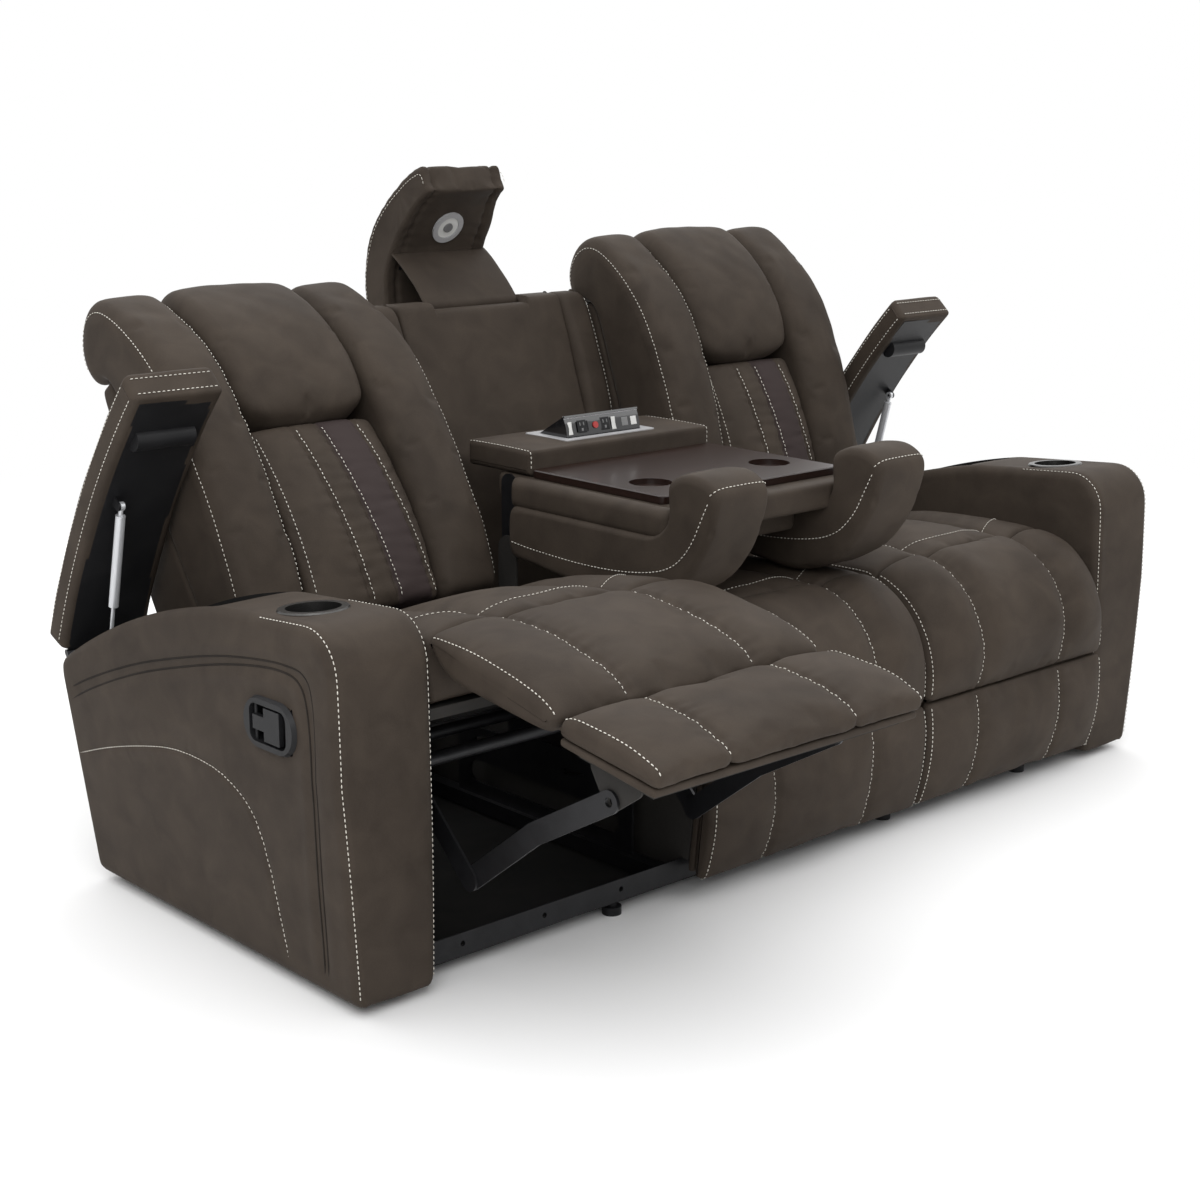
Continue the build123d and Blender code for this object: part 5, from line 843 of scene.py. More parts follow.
WELTS = [smooth_path(points, 200) for points in (
    ((866, 374), (796, 407), (686, 450), (561, 492), (351, 546), (227, 566), (140, 574), (76, 570), (60, 527),
     (58, 414), (66, 263), (77, 87), (80, 42)),
    ((862, 352), (801, 384), (688, 430), (563, 474), (352, 530), (228, 554), (150, 562), (98, 556), (78, 523),
     (70, 412), (78, 260), (88, 84), (91, 42)))]
BAND = (WELTS[0] + WELTS[1]) / 2
SWEEP = smooth_path([(850, 252), (716, 298), (524, 345), (428, 350), (332, 342), (254, 294), (222, 207), (206, 118),
                     (194, 38)])
WELT_R, WELT_SUNK, SWEEP_LIFT = 2.2, -0.8, 0.4
ARM_HUB, RING_EASE = np.array([0.0, 440.0, 300.0]), 0.85
LEAN_TOP, LEAN_RUN, LEAN_IN = 400.0, 382.0, 30.0


def arm_skin(rings=70):
    """Loft of one arm (mirrored for the left): strip over the top and front, and a ringed grid for each side."""
    strip = loft(arm_outline, ARM_XS, ARM_HALF, ARM_EDGE, crowned(ARM_HALF), 2)
    share = np.linspace(0, 1, rings)[None, :, None] ** RING_EASE
    sides = []
    for k in (0, -1):
        hub = ARM_HUB + np.array([strip[0, k, 0], 0, 0])
        loops = [strip[:, k]]
        for _ in range(rings - 1):
            loops.append(rounded(loops[-1], 3))
        rim_loop = np.stack(loops, 1)
        sides.append(rim_loop + (hub - rim_loop) * share)
    return strip, sides[0], sides[1]


def arm_relief(side_grid):
    """Outer side's padding: a swollen top band with a tuck below it and a shallow seam along the sweep."""
    depth, height = side_grid[..., 1], side_grid[..., 2]
    away = polyline_distance(depth, height, BAND)
    push = -3.4 * np.exp(-(away / 15.0) ** 2) + 2.0 * np.exp(-((away - 26.0) / 12.0) ** 2)
    far = polyline_distance(depth, height, SWEEP)
    push += -2.6 * np.exp(-(far / 6.0) ** 2) + 1.2 * ripple(side_grid, 41, 240.0)
    push += 0.5 * np.exp(-far / 20.0) * np.sin(ripple(side_grid, 42, 60.0) * 5.0)
    return push


def lean(grid):
    """The arm's points with the outer face drawn in towards the floor."""
    out = grid.copy()
    low = np.clip((LEAN_TOP - grid[..., 2]) / LEAN_RUN, 0, 1)
    out[..., 0] -= LEAN_IN * low * np.clip((grid[..., 0] + ARM_HALF) / (2 * ARM_HALF), 0, 1)
    return out


def arm_place(grid, side):
    """Arm points in the row frame."""
    out = lean(grid)
    out[..., 0] = side * (ARM_MID + out[..., 0])
    out[..., 1] += FRONT_Y
    return out * MM


def ring_fade(grid, speed):
    """Share of a side grid's relief at each ring, rising from 0 at its rim to 1 a few rings in."""
    return np.minimum(1.0, np.linspace(0, speed, grid.shape[1]))[None]


CUP_AT, CUP_R, BEZEL_AT, BEZEL_HALF, ARM_TOP, ARM_FLAT = 188.0, 50.0, (177.0, 464.0), (58.0, 37.0), 500.0, 74.0
ARM_ROWS, BIN_TAPER = (2, 106), 0.985
strip, inner, outer = arm_skin()
strip = rippled(strip, 1.2, 43, 200.0, (np.abs(ARM_XS) < ARM_FLAT)[None, :, None])
outer[..., 0] += arm_relief(outer) * ring_fade(outer, 12)
inner[..., 0] -= ripple(inner, 44, 200.0) * ring_fade(inner, 8)
first = sum(ARM_COUNTS[:4])
last = first + ARM_COUNTS[4]
cell, near = cell_middles(strip), cell_middles(outer)
cup_hole = (np.hypot(cell[..., 0], cell[..., 1] - CUP_AT) < CUP_R) & (cell[..., 2] > ARM_TOP)
rows = np.arange(len(strip))[:, None]
bin_hole = (rows >= first) & (rows < last) & (np.abs(cell[..., 0]) < BIN_HALF)
well_hole = np.all(np.abs(near[..., 1:] - BEZEL_AT) < BEZEL_HALF, axis=-1)
left_k, right_k = (int(np.flatnonzero(np.abs(ARM_XS - x) < 1e-6)[0]) for x in (-BIN_HALF, BIN_HALF))


def bin_liner():
    """Walls and floor of the storage well, hung from the edge of the opening."""
    edge = np.concatenate([strip[first:last + 1, left_k], strip[last, left_k + 1:right_k],
                           strip[first:last + 1, right_k][::-1], strip[first, left_k + 1:right_k][::-1]])
    drop = np.linspace(0, 1, 14)[None, :, None]
    foot = edge.copy()
    foot[:, 2] = BIN_FLOOR
    foot[:, 0] *= BIN_TAPER
    return edge[:, None] + (foot - edge)[:, None] * drop


def on_outer(path, lift):
    """Side-view points laid on the arm's padded outer face, raised by a little."""
    points = np.column_stack([np.full(len(path), ARM_HALF), path])
    points[:, 0] += arm_relief(points[None])[0] + lift
    return points


def tube(path, radius, count=8):
    """Rings round a path in metres, from its own direction and the sideways axis, as a closed loop grid."""
    way = np.gradient(path, axis=0)
    way /= np.linalg.norm(way, axis=1, keepdims=True)
    side_way = np.tile([1.0, 0.0, 0.0], (len(path), 1))
    side_way -= way * np.sum(side_way * way, axis=1, keepdims=True)
    side_way /= np.linalg.norm(side_way, axis=1, keepdims=True)
    other = np.cross(way, side_way)
    angle = np.linspace(0, math.tau, count, endpoint=False)[:, None, None]
    return path[None] + radius * (np.cos(angle) * side_way[None] + np.sin(angle) * other[None])


liner = bin_liner()
for side, label in SIDES:
    verts, faces, start = [], [], 0
    for grid, hole in ((strip, cup_hole | bin_hole), (inner, None), (outer, well_hole)):
        verts.append(arm_place(grid, side).reshape(-1, 3))
        faces += grid_faces(*grid.shape[:2], True, start, hole)
        start += len(verts[-1])
    arm = new_mesh(f"{label}_arm_cover", np.concatenate(verts), faces, weld=True)
    keep(arm, "frame", HIDE, "upholstery", f"{label}_arm")
    wall = arm_place(liner, side)
    rows_n, cols_n = wall.shape[:2]
    faces = grid_faces(rows_n, cols_n, True)
    faces += [((i + 1) * cols_n - 1, ((i + 1) % rows_n + 1) * cols_n - 1, rows_n * cols_n) for i in range(rows_n)]
    verts = np.concatenate([wall.reshape(-1, 3), wall[:, -1].mean(0)[None]])
    keep(new_mesh(f"{label}_bin_liner", verts, faces), "frame", LINING_AND_SHADE, "upholstery")
    skin = arm_place(strip, side)
    for at in (-ARM_HALF + STITCH_IN, ARM_HALF - STITCH_IN):
        sew("frame", *column(skin, ARM_XS, at, ARM_ROWS))
    line = arm_place(on_outer(SWEEP, SWEEP_LIFT), side)
    sew("frame", line, sideways(side, len(line)))
    # Two tubes along the outer band, darker than the hide: painted shade of the tucks beside the band.
    welts = [tube(arm_place(on_outer(path, WELT_SUNK), side), WELT_R * MM) for path in WELTS]
    keep(closed_pad(welts, f"{label}_arm_welts"), "frame", WELT_SHADE, "upholstery")

LID_PIVOT, LID_OPEN = (895.8, 435.2), -38.0
REAR_ANGLE = math.atan2(*(RIM_B - RIM_C)[::-1]) + 9.5 / RIM_R
FRONT_ANGLE = math.atan2(*(RIM_A - RIM_C)[::-1]) + 16.0 / RIM_R
LID_POSE = turn(LID_PIVOT, LID_OPEN)
LID_HALF, LID_EDGE, LID_LOW, LID_TOP, LID_CROWN = 90.0, 14.0, 4.0, 62.0, 4.0
LID_RUN, LID_END, LID_WELL_ROWS, LID_WELL_HALF = 90, 10, 86, 72.0
LID_FACE, LID_STITCHES, LID_STITCH_HALF = 89.6, (16.0, 49.0), 80.0


def lid_point(angle, height):
    """Point of the side view at a height above the rim's arc."""
    return RIM_C + (RIM_R + height) * np.stack([np.cos(angle), np.sin(angle)], -1)


def lid_outline(full):
    """Side outline of a lid that follows the rim, fuller over the middle of its width."""
    down = np.linspace(REAR_ANGLE, FRONT_ANGLE, LID_RUN, endpoint=False)
    up = np.linspace(FRONT_ANGLE, REAR_ANGLE, LID_RUN, endpoint=False)
    front = arc(lid_point(FRONT_ANGLE, LID_LOW), lid_point(FRONT_ANGLE, LID_TOP), 0, LID_END)
    rear = arc(lid_point(REAR_ANGLE, LID_TOP), lid_point(REAR_ANGLE, LID_LOW), 0, LID_END)
    top = lid_point(up, LID_TOP - LID_CROWN + LID_CROWN * full)
    return np.concatenate([lid_point(down, LID_LOW), front, top, rear])


def lid_stitches(body, centre):
    """Two rows of stitches along each side of a lid and two across its front end."""
    angle = np.linspace(REAR_ANGLE + 0.01, FRONT_ANGLE - 0.008, 160)
    for way in (-1, 1):
        for height in LID_STITCHES:
            line = np.column_stack([np.full(len(angle), way * LID_FACE), lid_point(angle, height)])
            sew(body, placed(line, LID_POSE, centre), sideways(way, len(angle)))
    across = np.linspace(-LID_STITCH_HALF, LID_STITCH_HALF, 40)
    for height in LID_STITCHES:
        end, proud, ahead = (lid_point(FRONT_ANGLE + step, height) for step in (0.0, 0.001, 0.1))
        line = np.column_stack([across, np.tile(end + (proud - end) * 0.3, (len(across), 1))])
        up = moved(ahead, LID_POSE) - moved(end, LID_POSE)
        sew(body, placed(line, LID_POSE, centre), np.tile([0.0, *up], (len(across), 1)))


lid = loft(lid_outline, spread(LID_HALF, LID_EDGE, 26), LID_HALF, LID_EDGE, crowned(LID_HALF), 1)
lid = rippled(lid, 0.9, 51, 160.0)
lid_hole = np.arange(len(lid))[:, None] < LID_WELL_ROWS
lid_hole = lid_hole & (np.abs(cell_middles(lid)[..., 0]) < LID_WELL_HALF)
for side, label in SIDES:
    grid = placed(lid, LID_POSE, side * ARM_MID)
    rows_n, cols_n = grid.shape[:2]
    faces = grid_faces(rows_n, cols_n, True, 0, lid_hole)
    rear_top = rows_n - LID_END - 1
    for k in (0, cols_n - 1):
        for i in range(LID_RUN - 1):
            low, high = i * cols_n + k, (rear_top - i) * cols_n + k
            faces.append((low, low + cols_n, high - cols_n, high))
        for begin in (LID_RUN - 1, rear_top):
            faces.append(tuple((i % rows_n) * cols_n + k for i in range(begin, begin + LID_END + 2)))
    obj = new_mesh(f"{label}_lid_cover", grid.reshape(-1, 3), faces)
    keep(obj, f"{label}_lid", HIDE, "upholstery", f"{label}_lid_pad")
    lid_stitches(f"{label}_lid", side * ARM_MID)


PANEL_HALF, PANEL_SEAM, PANEL_TOP, PANEL_THICK = 305.0, 226.0, 1014.0, 58.0
PANEL_KNEE, PANEL_LOW, PANEL_HEAD, NOTCH_HALF, NOTCH_TOP = (882.0, 700.0), 120.0, 995.0, 132.0, 967.0
LIP_TOP, LIP_THICK, PANEL_FULL, FACE_EDGE, ROLL_EDGE, ROLL_PUFF = 1000.0, 34.0, 1008.0, 8.0, 20.0, 16.0


def panel_head(top):
    """Depth of the panel's front at a height above its knee."""
    return PANEL_KNEE[0] + (top - PANEL_KNEE[1]) * (PANEL_HEAD - PANEL_KNEE[0]) / (PANEL_TOP - PANEL_KNEE[1])


def panel_outline(top, puff, shelf):
    """Side outline of a part of the panel, from its foot over the knee to a top height, swollen forward. Above a
    shelf height it is only a thin lip."""
    head = panel_head(top)
    lip = head + (LIP_THICK if shelf < PANEL_FULL else PANEL_THICK)
    foot, heel = (PANEL_KNEE[0], PANEL_LOW), (PANEL_KNEE[0] + PANEL_THICK, PANEL_LOW)
    ledge = (panel_head(shelf) + PANEL_THICK, shelf)
    return chain(((head, top), puff, 40), (PANEL_KNEE, 0, 46), (foot, 0, 6), (heel, 0, 46),
                 ((heel[0], PANEL_KNEE[1]), 0, 36), (ledge, 0, 4), ((lip, shelf - 1.0), 0, 4), ((lip, top), 0, 6))


def panel_face(x):
    """Outline of the flat middle of the panel at an offset, lower inside the notch."""
    return panel_outline(*((LIP_TOP, 0.0, NOTCH_TOP) if abs(x) < NOTCH_HALF else (PANEL_TOP, 0.0, PANEL_FULL)))


def roll_face(full):
    """Outline of the swollen roll beside the flat middle of the panel."""
    return panel_outline(PANEL_TOP, ROLL_PUFF * full, PANEL_FULL)


notch_xs = [way * NOTCH_HALF + step for way in (-1, 1) for step in (-1, 1)]
face_xs = np.sort(np.concatenate([spread(PANEL_SEAM, FACE_EDGE, 40), notch_xs]))
face = loft(panel_face, face_xs, PANEL_SEAM, FACE_EDGE, lambda x: x, 2)
roll_half = (PANEL_HALF - PANEL_SEAM) / 2
roll_xs = spread(roll_half, ROLL_EDGE, 12)
side_roll = loft(roll_face, roll_xs, roll_half, ROLL_EDGE, crowned(roll_half), 5)
parts = [placed(dressed(face, face_xs, (0, 60), (), 61, 1.0), STILL, 0.0)]
for way in (-1, 1):
    parts.append(placed(dressed(side_roll, roll_xs, (0, 60), (), 62 + way, 1.2), STILL, way * (PANEL_SEAM + roll_half)))
    sew("frame", *column(parts[-1], roll_xs, way * (roll_half - 7.0), (1, 60)))
soft(parts, "centre_panel", "frame", 0.7, "centre_back_panel")

HEAD_HALF, HINGE = 122.0, np.array([1048.0, 1000.0])
HEAD_LOW_OUT, HEAD_LOW_IN = (1228.0, 964.0), (1152.0, 985.0)
HEAD_TIP_OUT, HEAD_TIP_IN, HEAD_DRAW = (1059.0, 1301.0), (1034.0, 1246.0), 12.0
HEAD_TAPER = (1060.0, 1165.0, 1246.0, 1301.0), (1.12, 1.05, 0.91, 0.90)
LIGHT_AT, LIGHT_RUN, LIGHT_REACH = np.array([1112.0, 1165.0]), np.array([0.5498, -0.8353]), 36.0


def headrest_outline(full):
    """Curved headrest pad with a thick rounded tip, flat where it carries the light."""
    draw = (1 - full) * HEAD_DRAW
    above, below = LIGHT_AT - LIGHT_REACH * LIGHT_RUN, LIGHT_AT + LIGHT_REACH * LIGHT_RUN
    return chain((HEAD_LOW_OUT, (1208.0 - draw, 1200.0 - draw), 40), (HEAD_TIP_OUT, -6.0, 10), (HEAD_TIP_IN, -5.2, 11),
                 (above, 0, 10), (below, -17.0, 13), (HEAD_LOW_IN, 0, 12))


head = cushion(headrest_outline, HEAD_HALF, 9.0, crowned(HEAD_HALF), 3, (50, 96), (0, 84), (-94.0, 94.0), 71,
               pressure=2.5, cap=5.0, count=34)


def head_taper(height):
    """Share of the headrest's width at a height."""
    return np.interp(height, *HEAD_TAPER)


head[0][..., 0] *= head_taper(head[0][..., 2])
HEAD_SEAM = smooth_path([(1221, 981), (1229, 1019), (1231, 1053), (1225, 1104), (1208, 1156), (1179, 1204),
                         (1143, 1240), (1108, 1265), (1080, 1278), (1063, 1284), (1053, 1274), (1047, 1255)], 140)
grid = placed(head[0], STILL, 0.0)
soft([grid], "headrest_cushion", "headrest", 0.8, "headrest_pad")
for way in (-1, 1):
    line = np.column_stack([way * (HEAD_HALF * head_taper(HEAD_SEAM[:, 1]) + 1.0), HEAD_SEAM])
    sew("headrest", placed(line, STILL, 0.0), sideways(way, len(line)))

FLAP_HALF, FLAP_R, FLAP_THICK, FLAP_TOP = 130.0, 20.0, 2.4, np.array([1146.0, 1112.0])
FLAP_WOUND, FLAP_RISE, FLAP_COLS = 2.7, 6.0, 40


def flap_sheet():
    """Leather flap, straight from under the headrest to the tube and then wound round the tube, both faces."""
    away = FLAP_TOP - HINGE
    reach = float(np.hypot(*away))
    touch = math.atan2(away[1], away[0]) + math.acos(FLAP_R / reach)
    angle = np.linspace(touch, touch + FLAP_WOUND, 24)
    wound = HINGE + FLAP_R * np.stack([np.cos(angle), np.sin(angle)], 1)
    line = np.concatenate([arc(FLAP_TOP, wound[0], FLAP_RISE, 22), wound])
    xs = np.linspace(-FLAP_HALF, FLAP_HALF, FLAP_COLS)
    upper = np.array([np.column_stack([xs, np.tile(point, (FLAP_COLS, 1))]) for point in line])
    upper = upper + normals(upper, False) * (1.2 * ripple(upper, 72, 80.0))[..., None]
    return upper, float(np.sum(np.hypot(*np.diff(line, axis=0).T)))


def cloth(name, upper, thick, body, material):
    """A sheet with both its faces and closed edges, from the grid of its upper face."""
    grid = np.concatenate([upper, (upper - normals(upper, False) * thick)[::-1]])
    rows, cols = grid.shape[:2]
    faces = grid_faces(rows, cols, True)
    for k in (0, cols - 1):
        faces += [(i * cols + k, (i + 1) * cols + k, (rows - 2 - i) * cols + k, (rows - 1 - i) * cols + k)
                  for i in range(rows // 2 - 1)]
    return keep(new_mesh(name, placed(grid, STILL, 0.0).reshape(-1, 3), faces), body, material, "upholstery")


flap, flap_length = flap_sheet()
flap_obj = cloth("headrest_flap", flap, FLAP_THICK, "headrest", HIDE)

# Black sheet under the frame between the arms: painted shade that darkens the floor seen inside the seat bays.
COVER_HALF, COVER_FRONT, COVER_REAR, COVER_AT, COVER_THICK = 912.0, 52.0, 868.0, 25.2, 1.2
cover_x, cover_d = np.meshgrid(np.linspace(-COVER_HALF, COVER_HALF, 60), np.linspace(COVER_FRONT, COVER_REAR, 40))
cover = np.stack([cover_x, cover_d, np.full_like(cover_x, COVER_AT)], -1)
cover[..., 2] += 0.8 * ripple(cover, 73, 240.0)
cover_obj = cloth("shade_sheet_under_frame", cover, -COVER_THICK, "frame", LINING_AND_SHADE)


def ring_disc(centre, normal, inner, outer, thick, count=48):
    """A flat washer about a point: its outer wall, rounded face and inner wall, as a closed grid in metres."""
    normal = np.array(normal) / np.linalg.norm(normal)
    side = np.array([1.0, 0.0, 0.0])
    up = np.cross(normal, side)
    angle = np.linspace(0, math.tau, count, endpoint=False)
    round_way = np.cos(angle)[:, None] * side + np.sin(angle)[:, None] * up
    ease = thick * 0.4
    section = ((inner, 0.0), (inner, thick - ease), (inner + ease, thick),
               (outer - ease, thick), (outer, thick - ease), (outer, 0.0))
    return np.stack([centre + round_way * radius + normal * height for radius, height in section], 1)


def ring_piece(name, grid, body, material, slot_name):
    """A washer grid as a piece."""
    rows_n, cols_n = grid.shape[:2]
    faces = grid_faces(rows_n, cols_n, True)
    for i in range(rows_n):
        a, b = i * cols_n, ((i + 1) % rows_n) * cols_n
        faces.append((a, b, b + cols_n - 1, a + cols_n - 1))
    return keep(new_mesh(name, grid.reshape(-1, 3), faces, False), body, material, slot_name)


LIGHT_PROUD, DIFFUSER_IN, DIFFUSER_OUT, DIFFUSER_THICK = 2.2, 0.0118, 0.0266, 0.0012
light_way = np.array([0.0, LIGHT_RUN[1], -LIGHT_RUN[0]])
light_at = (np.array([0.0, LIGHT_AT[0] + FRONT_Y, LIGHT_AT[1]]) + light_way * LIGHT_PROUD) * MM
diffuser = ring_disc(light_at, light_way, DIFFUSER_IN, DIFFUSER_OUT, DIFFUSER_THICK)
ring_piece("light_diffuser", diffuser, "headrest", PALE, "bright_steel")


def slab(x_half, d0, d1, z0, z1, crown, edge):
    """A flat pad: a rounded box outline lofted across, slightly crowned on top."""
    def outline(full):
        return chain(((d0, z0), 0, 40), ((d1, z0), 0, 8), ((d1, z1), crown * full, 40), ((d0, z1), 0, 8))
    xs = spread(x_half, edge, 44)
    return loft(outline, xs, x_half, edge, crowned(x_half), 1), xs


WING_X, WING_HALF, WING_REAR, CORE_LOW = 223.0, 71.0, 560.0, 660.7


def wing_outline(full):
    """Console bolster, whose front end curls up past the tray."""
    draw = (1 - full) * 30.0
    rear_low, rear_top, under = (WING_REAR, 556.0 + draw), (WING_REAR, CORE_LOW), (142.7, CORE_LOW)
    heel, inner, tip = (106.0, 694.0), (110.0, 770.0 - draw), (-20.0 + draw / 2, 764.0 - draw)
    front, low = (58.0 + draw, 592.0), (280.0, 524.0 + draw)
    return chain((rear_low, 0, 8), (rear_top, 0, 34), (under, 0, 5), (heel, 0, 9), (inner, 24.0, 16), (tip, front, 40),
                 (low, 0, 28))


def wing_full(x):
    """Fullness across a console bolster."""
    return 1 - 0.2 * (abs(x) / WING_HALF) ** 6


WING_SEAM = ((548, 590), (489, 584), (331, 578), (201, 585), (100, 606), (48, 654), (18, 716), (0, 752))
WING_EDGE, WING_TIP_ROW = 12.0, 141.0
wing = cushion(wing_outline, WING_HALF, WING_EDGE, wing_full, 3, (6, 50), (50, 138), (), 81,
               pressure=3.0, cap=8.0, count=26)
soft([placed(wing[0], STILL, way * WING_X) for way in (-1, 1)], "console_wings", "console", 0.8, "console_bolsters")
for way in (-1, 1):
    for face_x in (way * WING_HALF, -way * WING_HALF):
        sew("console", *flank(WING_SEAM, face_x, STILL, way * WING_X))
    sew("console", *crossing(placed(wing[0], STILL, way * WING_X), np.full(len(wing[1]), WING_TIP_ROW), 1, -1))
# each: half width, front, rear, low, high, crown, edge
CORE_BOX = 252.0, 113.0, 640.0, 661.0, 713.0, 0.0, 10.0
UNDER_BOX = 148.5, 190.0, WING_REAR, 609.0, 668.0, 0.0, 16.0
ROLL_BOX, ROLL_X = (21.0, 116.0, 566.0, 652.0, 714.0, 0.0, 19.0), 266.0
BLOCK_HALF = 250.0
BLOCK_BOX = BLOCK_HALF, 540.5, 738.0, 714.0, 765.4, 3.0, 12.0
POWER_AT, POWER_HALF, POWER_LOW = (0.0, 640.0), (112.0, 55.0), 758.0
slabs = [placed(slab(*box)[0], STILL, at) for box, at in (
    (CORE_BOX, 0.0), (UNDER_BOX, 0.0), (ROLL_BOX, -ROLL_X), (ROLL_BOX, ROLL_X))]
soft(slabs, "console_slab", "console", 0.6, "console_core")
block, block_xs = slab(*BLOCK_BOX)
spot = cell_middles(block)
block_hole = np.all(np.abs(spot[..., :2] - POWER_AT) < POWER_HALF, axis=-1) & (spot[..., 2] > POWER_LOW)
grid = placed(block, STILL, 0.0)
rows_n, cols_n = grid.shape[:2]
faces = grid_faces(rows_n, cols_n, True, 0, block_hole)
faces += [tuple(i * cols_n + k for i in range(rows_n)) for k in (0, cols_n - 1)]
obj = keep(new_mesh("console_block", grid.reshape(-1, 3), faces), "console", HIDE, "upholstery", "power_block")
for way in (-1, 1):
    sew("console", *column(grid, block_xs, way * (BLOCK_HALF - 5.0), (48, 96)))

FLAP_PIVOT, FLAP_RADIUS, FLAP_OPEN = np.array([682.0, 765.0]), 84.0, 30.0


def tablet(x, wide, low, high, proud):
    """A small plate with bevelled rim on the flap's round face, between two angles from the face's top edge."""
    edge = min(wide, 6.0) * 0.18
    rows = []
    for grow, rise in ((0.0, -0.4), (0.0, proud * 0.6), (-edge, proud), (-wide / 2 + 0.1, proud)):
        reach = FLAP_RADIUS + rise
        a, b = (math.radians(180.0 - FLAP_OPEN + t) for t in (low, high))
        trim = -grow / FLAP_RADIUS if grow > -wide / 2 + 0.2 else (b - a) / 2 - 0.001
        corners = ((-1, a + trim), (1, a + trim), (1, b - trim), (-1, b - trim))
        rows.append([(x + s * (wide / 2 + grow), *(FLAP_PIVOT + reach * np.array([math.cos(t), math.sin(t)])))
                     for s, t in corners])
    grid = placed(np.array(rows), STILL, 0.0)
    ring = [(k, (k + 1) % 4, 4 + (k + 1) % 4, 4 + k) for k in range(4)]
    faces = [tuple(4 * r + i for i in quad) for r in range(3) for quad in ring]
    return grid.reshape(-1, 3), faces + [(3, 2, 1, 0), (12, 13, 14, 15)]


def tablets(name, items, material, slot_name):
    """Several small plates on the flap's face as one piece."""
    verts, faces = [], []
    for item in items:
        v, f = tablet(*item)
        start = sum(len(x) for x in verts)
        verts.append(v)
        faces += [tuple(start + i for i in face) for face in f]
    return keep(new_mesh(name, np.concatenate(verts), faces, False), "power_flap", material, slot_name)


# each: place across, width, two angles on the face, height above it
INSERTS = (-90.0, 11.0, 6.0, 24.0, 0.8), (30.0, 11.0, 6.0, 24.0, 0.8), (86.0, 16.0, 9.0, 21.0, 0.8)
PORT, EDGE_TRIM = (61.0, 17.0, 9.0, 21.0, 0.8), (0.0, 204.0, -3.2, 1.2, 1.4)
SOCKETS, SOCKET_PLATE = (-58.0, 6.0), (24.0, 5.0, 23.0, 0.9)
PIN_HOLES = (-5.0, 2.4, 8.0, 13.0, 1.3), (5.0, 2.4, 8.0, 13.0, 1.3), (0.0, 5.0, 16.5, 20.5, 1.3)
tablets("power_inserts", INSERTS, PALE, "gloss_black")
tablets("power_ports", [PORT] + [(at + x, *size) for at in SOCKETS for x, *size in PIN_HOLES], GREY, "gloss_black")
tablets("power_sockets", [(at, *SOCKET_PLATE) for at in SOCKETS], PLASTIC, "gloss_black")
tablets("power_edge", [EDGE_TRIM], SILVER, "bright_steel")

APRON_LOW, APRON_HIGH, APRON_AT, APRON_THICK, APRON_EDGE, APRON_GAP = 36.0, 262.0, 873.0, 7.0, 3.0, 4.0
for side, label in SIDES:
    half = (ARM_MID - ARM_HALF - CENTRE_HALF) / 2 - APRON_GAP
    apron, _ = slab(half, APRON_AT, APRON_AT + APRON_THICK, APRON_LOW, APRON_HIGH, 0.0, APRON_EDGE)
    apron = rippled(apron, 1.0, 90 + side, 220.0)
    obj = soft([placed(apron, STILL, side * SEAT_X)], f"{label}_rear_apron", "frame", 0.3)
    # The apron's front-facing faces take the near-black cloth: painted shade for the back of the seat bay.
    obj.data.materials.append(LINING_AND_SHADE)
    inside = np.array([p.normal.y < -0.5 for p in obj.data.polygons], dtype=np.int32)
    obj.data.polygons.foreach_set("material_index", inside)

for body, (verts, faces) in threads.items():
    keep(new_mesh(f"stitches_{body}", np.array(verts), faces), body, THREAD, "upholstery")

slots = {s["node"]: s["material_slot"] for s in frame["record"]["subparts"]}
for name, node in frame["nodes"].items():
    for material_slot in node.material_slots:
        material_slot.material = OWN_FINISH.get(name, FINISH[slots[name]])


FLOOR_SPAN, FLOOR_POINTS, FLOOR_NEAR, FLOOR_FAR, SKY_LIGHT = (-12, 20), 33, 2.4, 4.6, 0.38


def stage_floor():
    """A broad flat pale floor, as a grid of points at height zero."""
    line = np.linspace(*FLOOR_SPAN, FLOOR_POINTS)
    x, y = np.meshgrid(line, line, indexing="ij")
    return new_mesh("floor", np.stack([x, y, np.zeros_like(x)], -1), grid_faces(FLOOR_POINTS, FLOOR_POINTS, False))


def seen_rays(tree):
    """Output that is 1 for camera, mirror and glass rays and 0 for the rest."""
    ray, either, any_of = (tree.nodes.new(f"ShaderNode{kind}") for kind in ("LightPath", "Math", "Math"))
    either.operation = any_of.operation = "MAXIMUM"
    wire(tree, (ray.outputs["Is Camera Ray"], either.inputs[0]), (ray.outputs["Is Glossy Ray"], either.inputs[1]),
         (either.outputs[0], any_of.inputs[0]), (ray.outputs["Is Transmission Ray"], any_of.inputs[1]))
    return any_of.outputs[0]


def floor_paint():
    """Pale floor that keeps the object's shadow, and turns white further out for rays that see the background."""
    mat, tree, bsdf = shader("pale_floor", (0.92, 0.92, 0.92), 0.85, gleam=0.2)
    coord, reach, fade, share, white, mix = (tree.nodes.new(f"ShaderNode{kind}") for kind in (
        "TexCoord", "VectorMath", "MapRange", "Math", "Emission", "MixShader"))
    reach.operation, share.operation, fade.interpolation_type = "LENGTH", "MULTIPLY", "SMOOTHSTEP"
    fill(fade, {"From Min": FLOOR_NEAR, "From Max": FLOOR_FAR})
    fill(white, {"Color": (1.0, 1.0, 1.0, 1.0)})
    wire(tree, (coord.outputs["Object"], reach.inputs[0]), (reach.outputs["Value"], fade.inputs["Value"]),
         (fade.outputs["Result"], share.inputs[0]), (seen_rays(tree), share.inputs[1]),
         (share.outputs[0], mix.inputs["Fac"]), (bsdf.outputs[0], mix.inputs[1]), (white.outputs[0], mix.inputs[2]),
         (mix.outputs[0], tree.nodes["Material Output"].inputs["Surface"]))
    return mat


floor = stage_floor()
floor.data.materials.append(floor_paint())


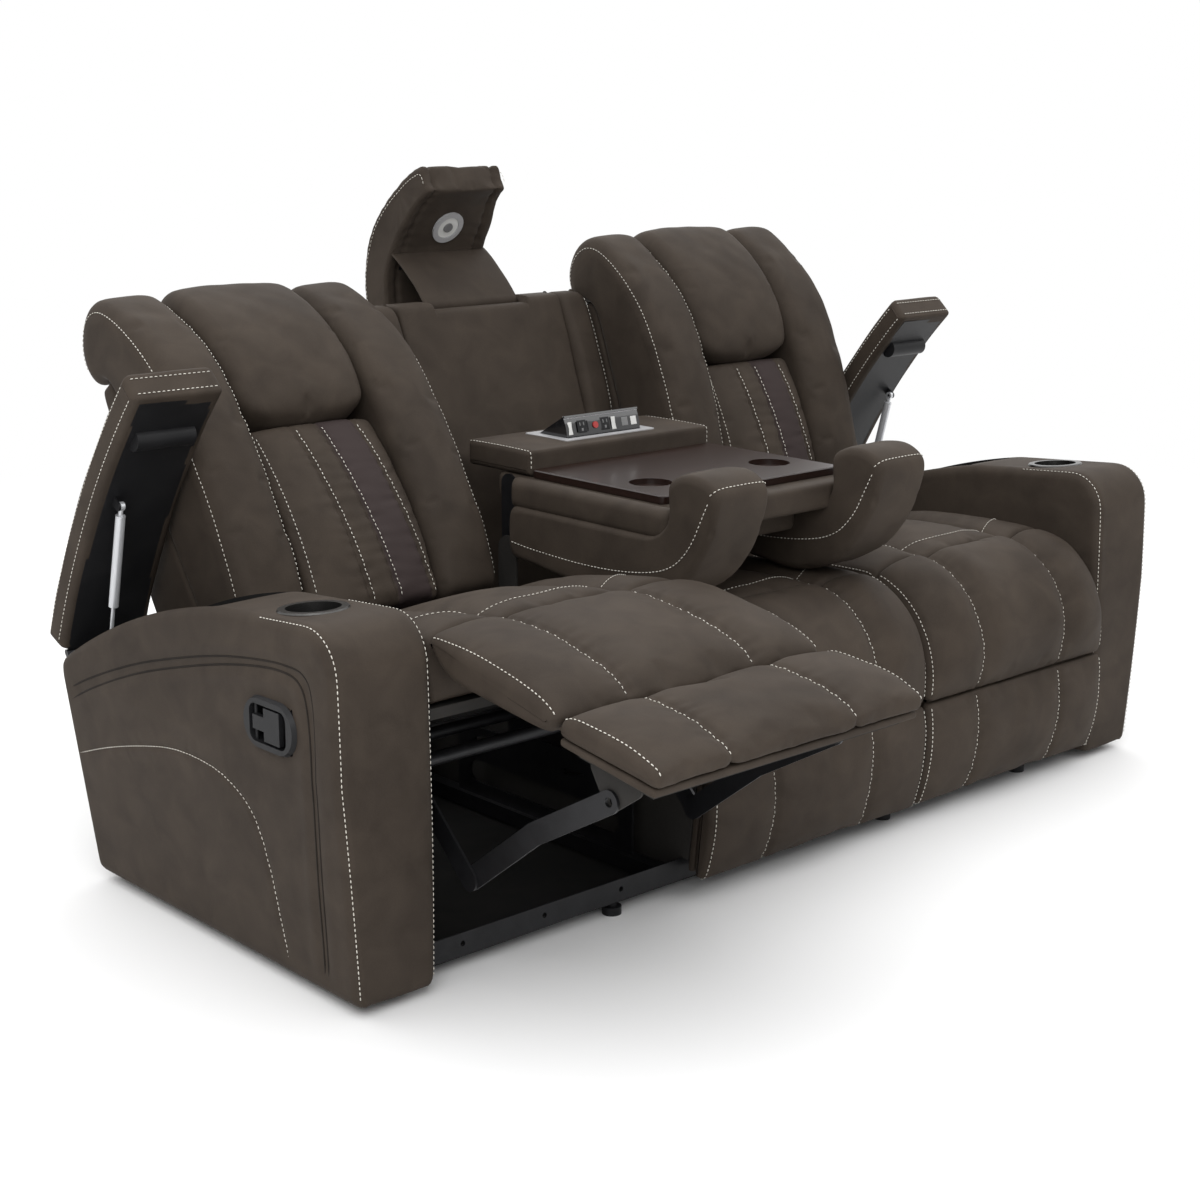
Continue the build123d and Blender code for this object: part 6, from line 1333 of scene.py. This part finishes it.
def studio_world():
    """White all round: full strength where it is seen or mirrored, less where it lights the object."""
    world = bpy.data.worlds.new("studio")
    world.use_nodes = True
    tree = world.node_tree
    level, back = tree.nodes.new("ShaderNodeMapRange"), tree.nodes["Background"]
    fill(level, {"To Min": SKY_LIGHT})
    fill(back, {"Color": (1.0, 1.0, 1.0, 1.0)})
    wire(tree, (seen_rays(tree), level.inputs["Value"]), (level.outputs["Result"], back.inputs["Strength"]))
    return world


scene = bpy.context.scene
scene.world = studio_world()


def area(name, at, to, size, power):
    """A soft square light at a point, facing another."""
    light = bpy.data.lights.new(name, "AREA")
    light.size, light.energy = size, power
    obj = bpy.data.objects.new(name, light)
    scene.collection.objects.link(obj)
    obj.location = at
    obj.rotation_mode = "QUATERNION"
    obj.rotation_quaternion = (Matrix.Translation(to).translation - obj.location).to_track_quat("-Z", "Y")
    return obj


area("overhead", (4.0, 4.0, 10.0), (4.0, 4.0, 0.0), 36.0, 5200.0)
area("front_left", (-3.5, -3.5, 3.2), (0.0, 0.0, 0.6), 3.0, 90.0)

CAMERA_TURN, CAMERA_TIP, CAMERA_ROLL = (math.radians(v) for v in (-42.3623, 13.8511, 0.1624))
CAMERA_AT, CAMERA_LENS, CAMERA_SENSOR = (-2.8127, -2.8414, 1.4399), 60.97, 36.0


def camera_pose():
    """Placing matrix of the camera: turned about the upright, tipped down, then rolled."""
    flat, drop = math.cos(CAMERA_TIP), math.sin(CAMERA_TIP)
    ahead = np.array([-math.sin(CAMERA_TURN) * flat, math.cos(CAMERA_TURN) * flat, -drop])
    right = np.array([math.cos(CAMERA_TURN), math.sin(CAMERA_TURN), 0.0])
    above = np.cross(right, ahead)
    c, s = math.cos(CAMERA_ROLL), math.sin(CAMERA_ROLL)
    pose = Matrix.Identity(4)
    for k, axis in enumerate((right * c + above * s, above * c - right * s, -ahead)):
        for j in range(3):
            pose[j][k] = axis[j]
    pose.translation = CAMERA_AT
    return pose


camera = bpy.data.objects.new("camera", bpy.data.cameras.new("camera"))
scene.collection.objects.link(camera)
camera.data.lens, camera.data.sensor_width = CAMERA_LENS, CAMERA_SENSOR
camera.matrix_world = camera_pose()
scene.camera = camera
scene.view_settings.view_transform = "Standard"
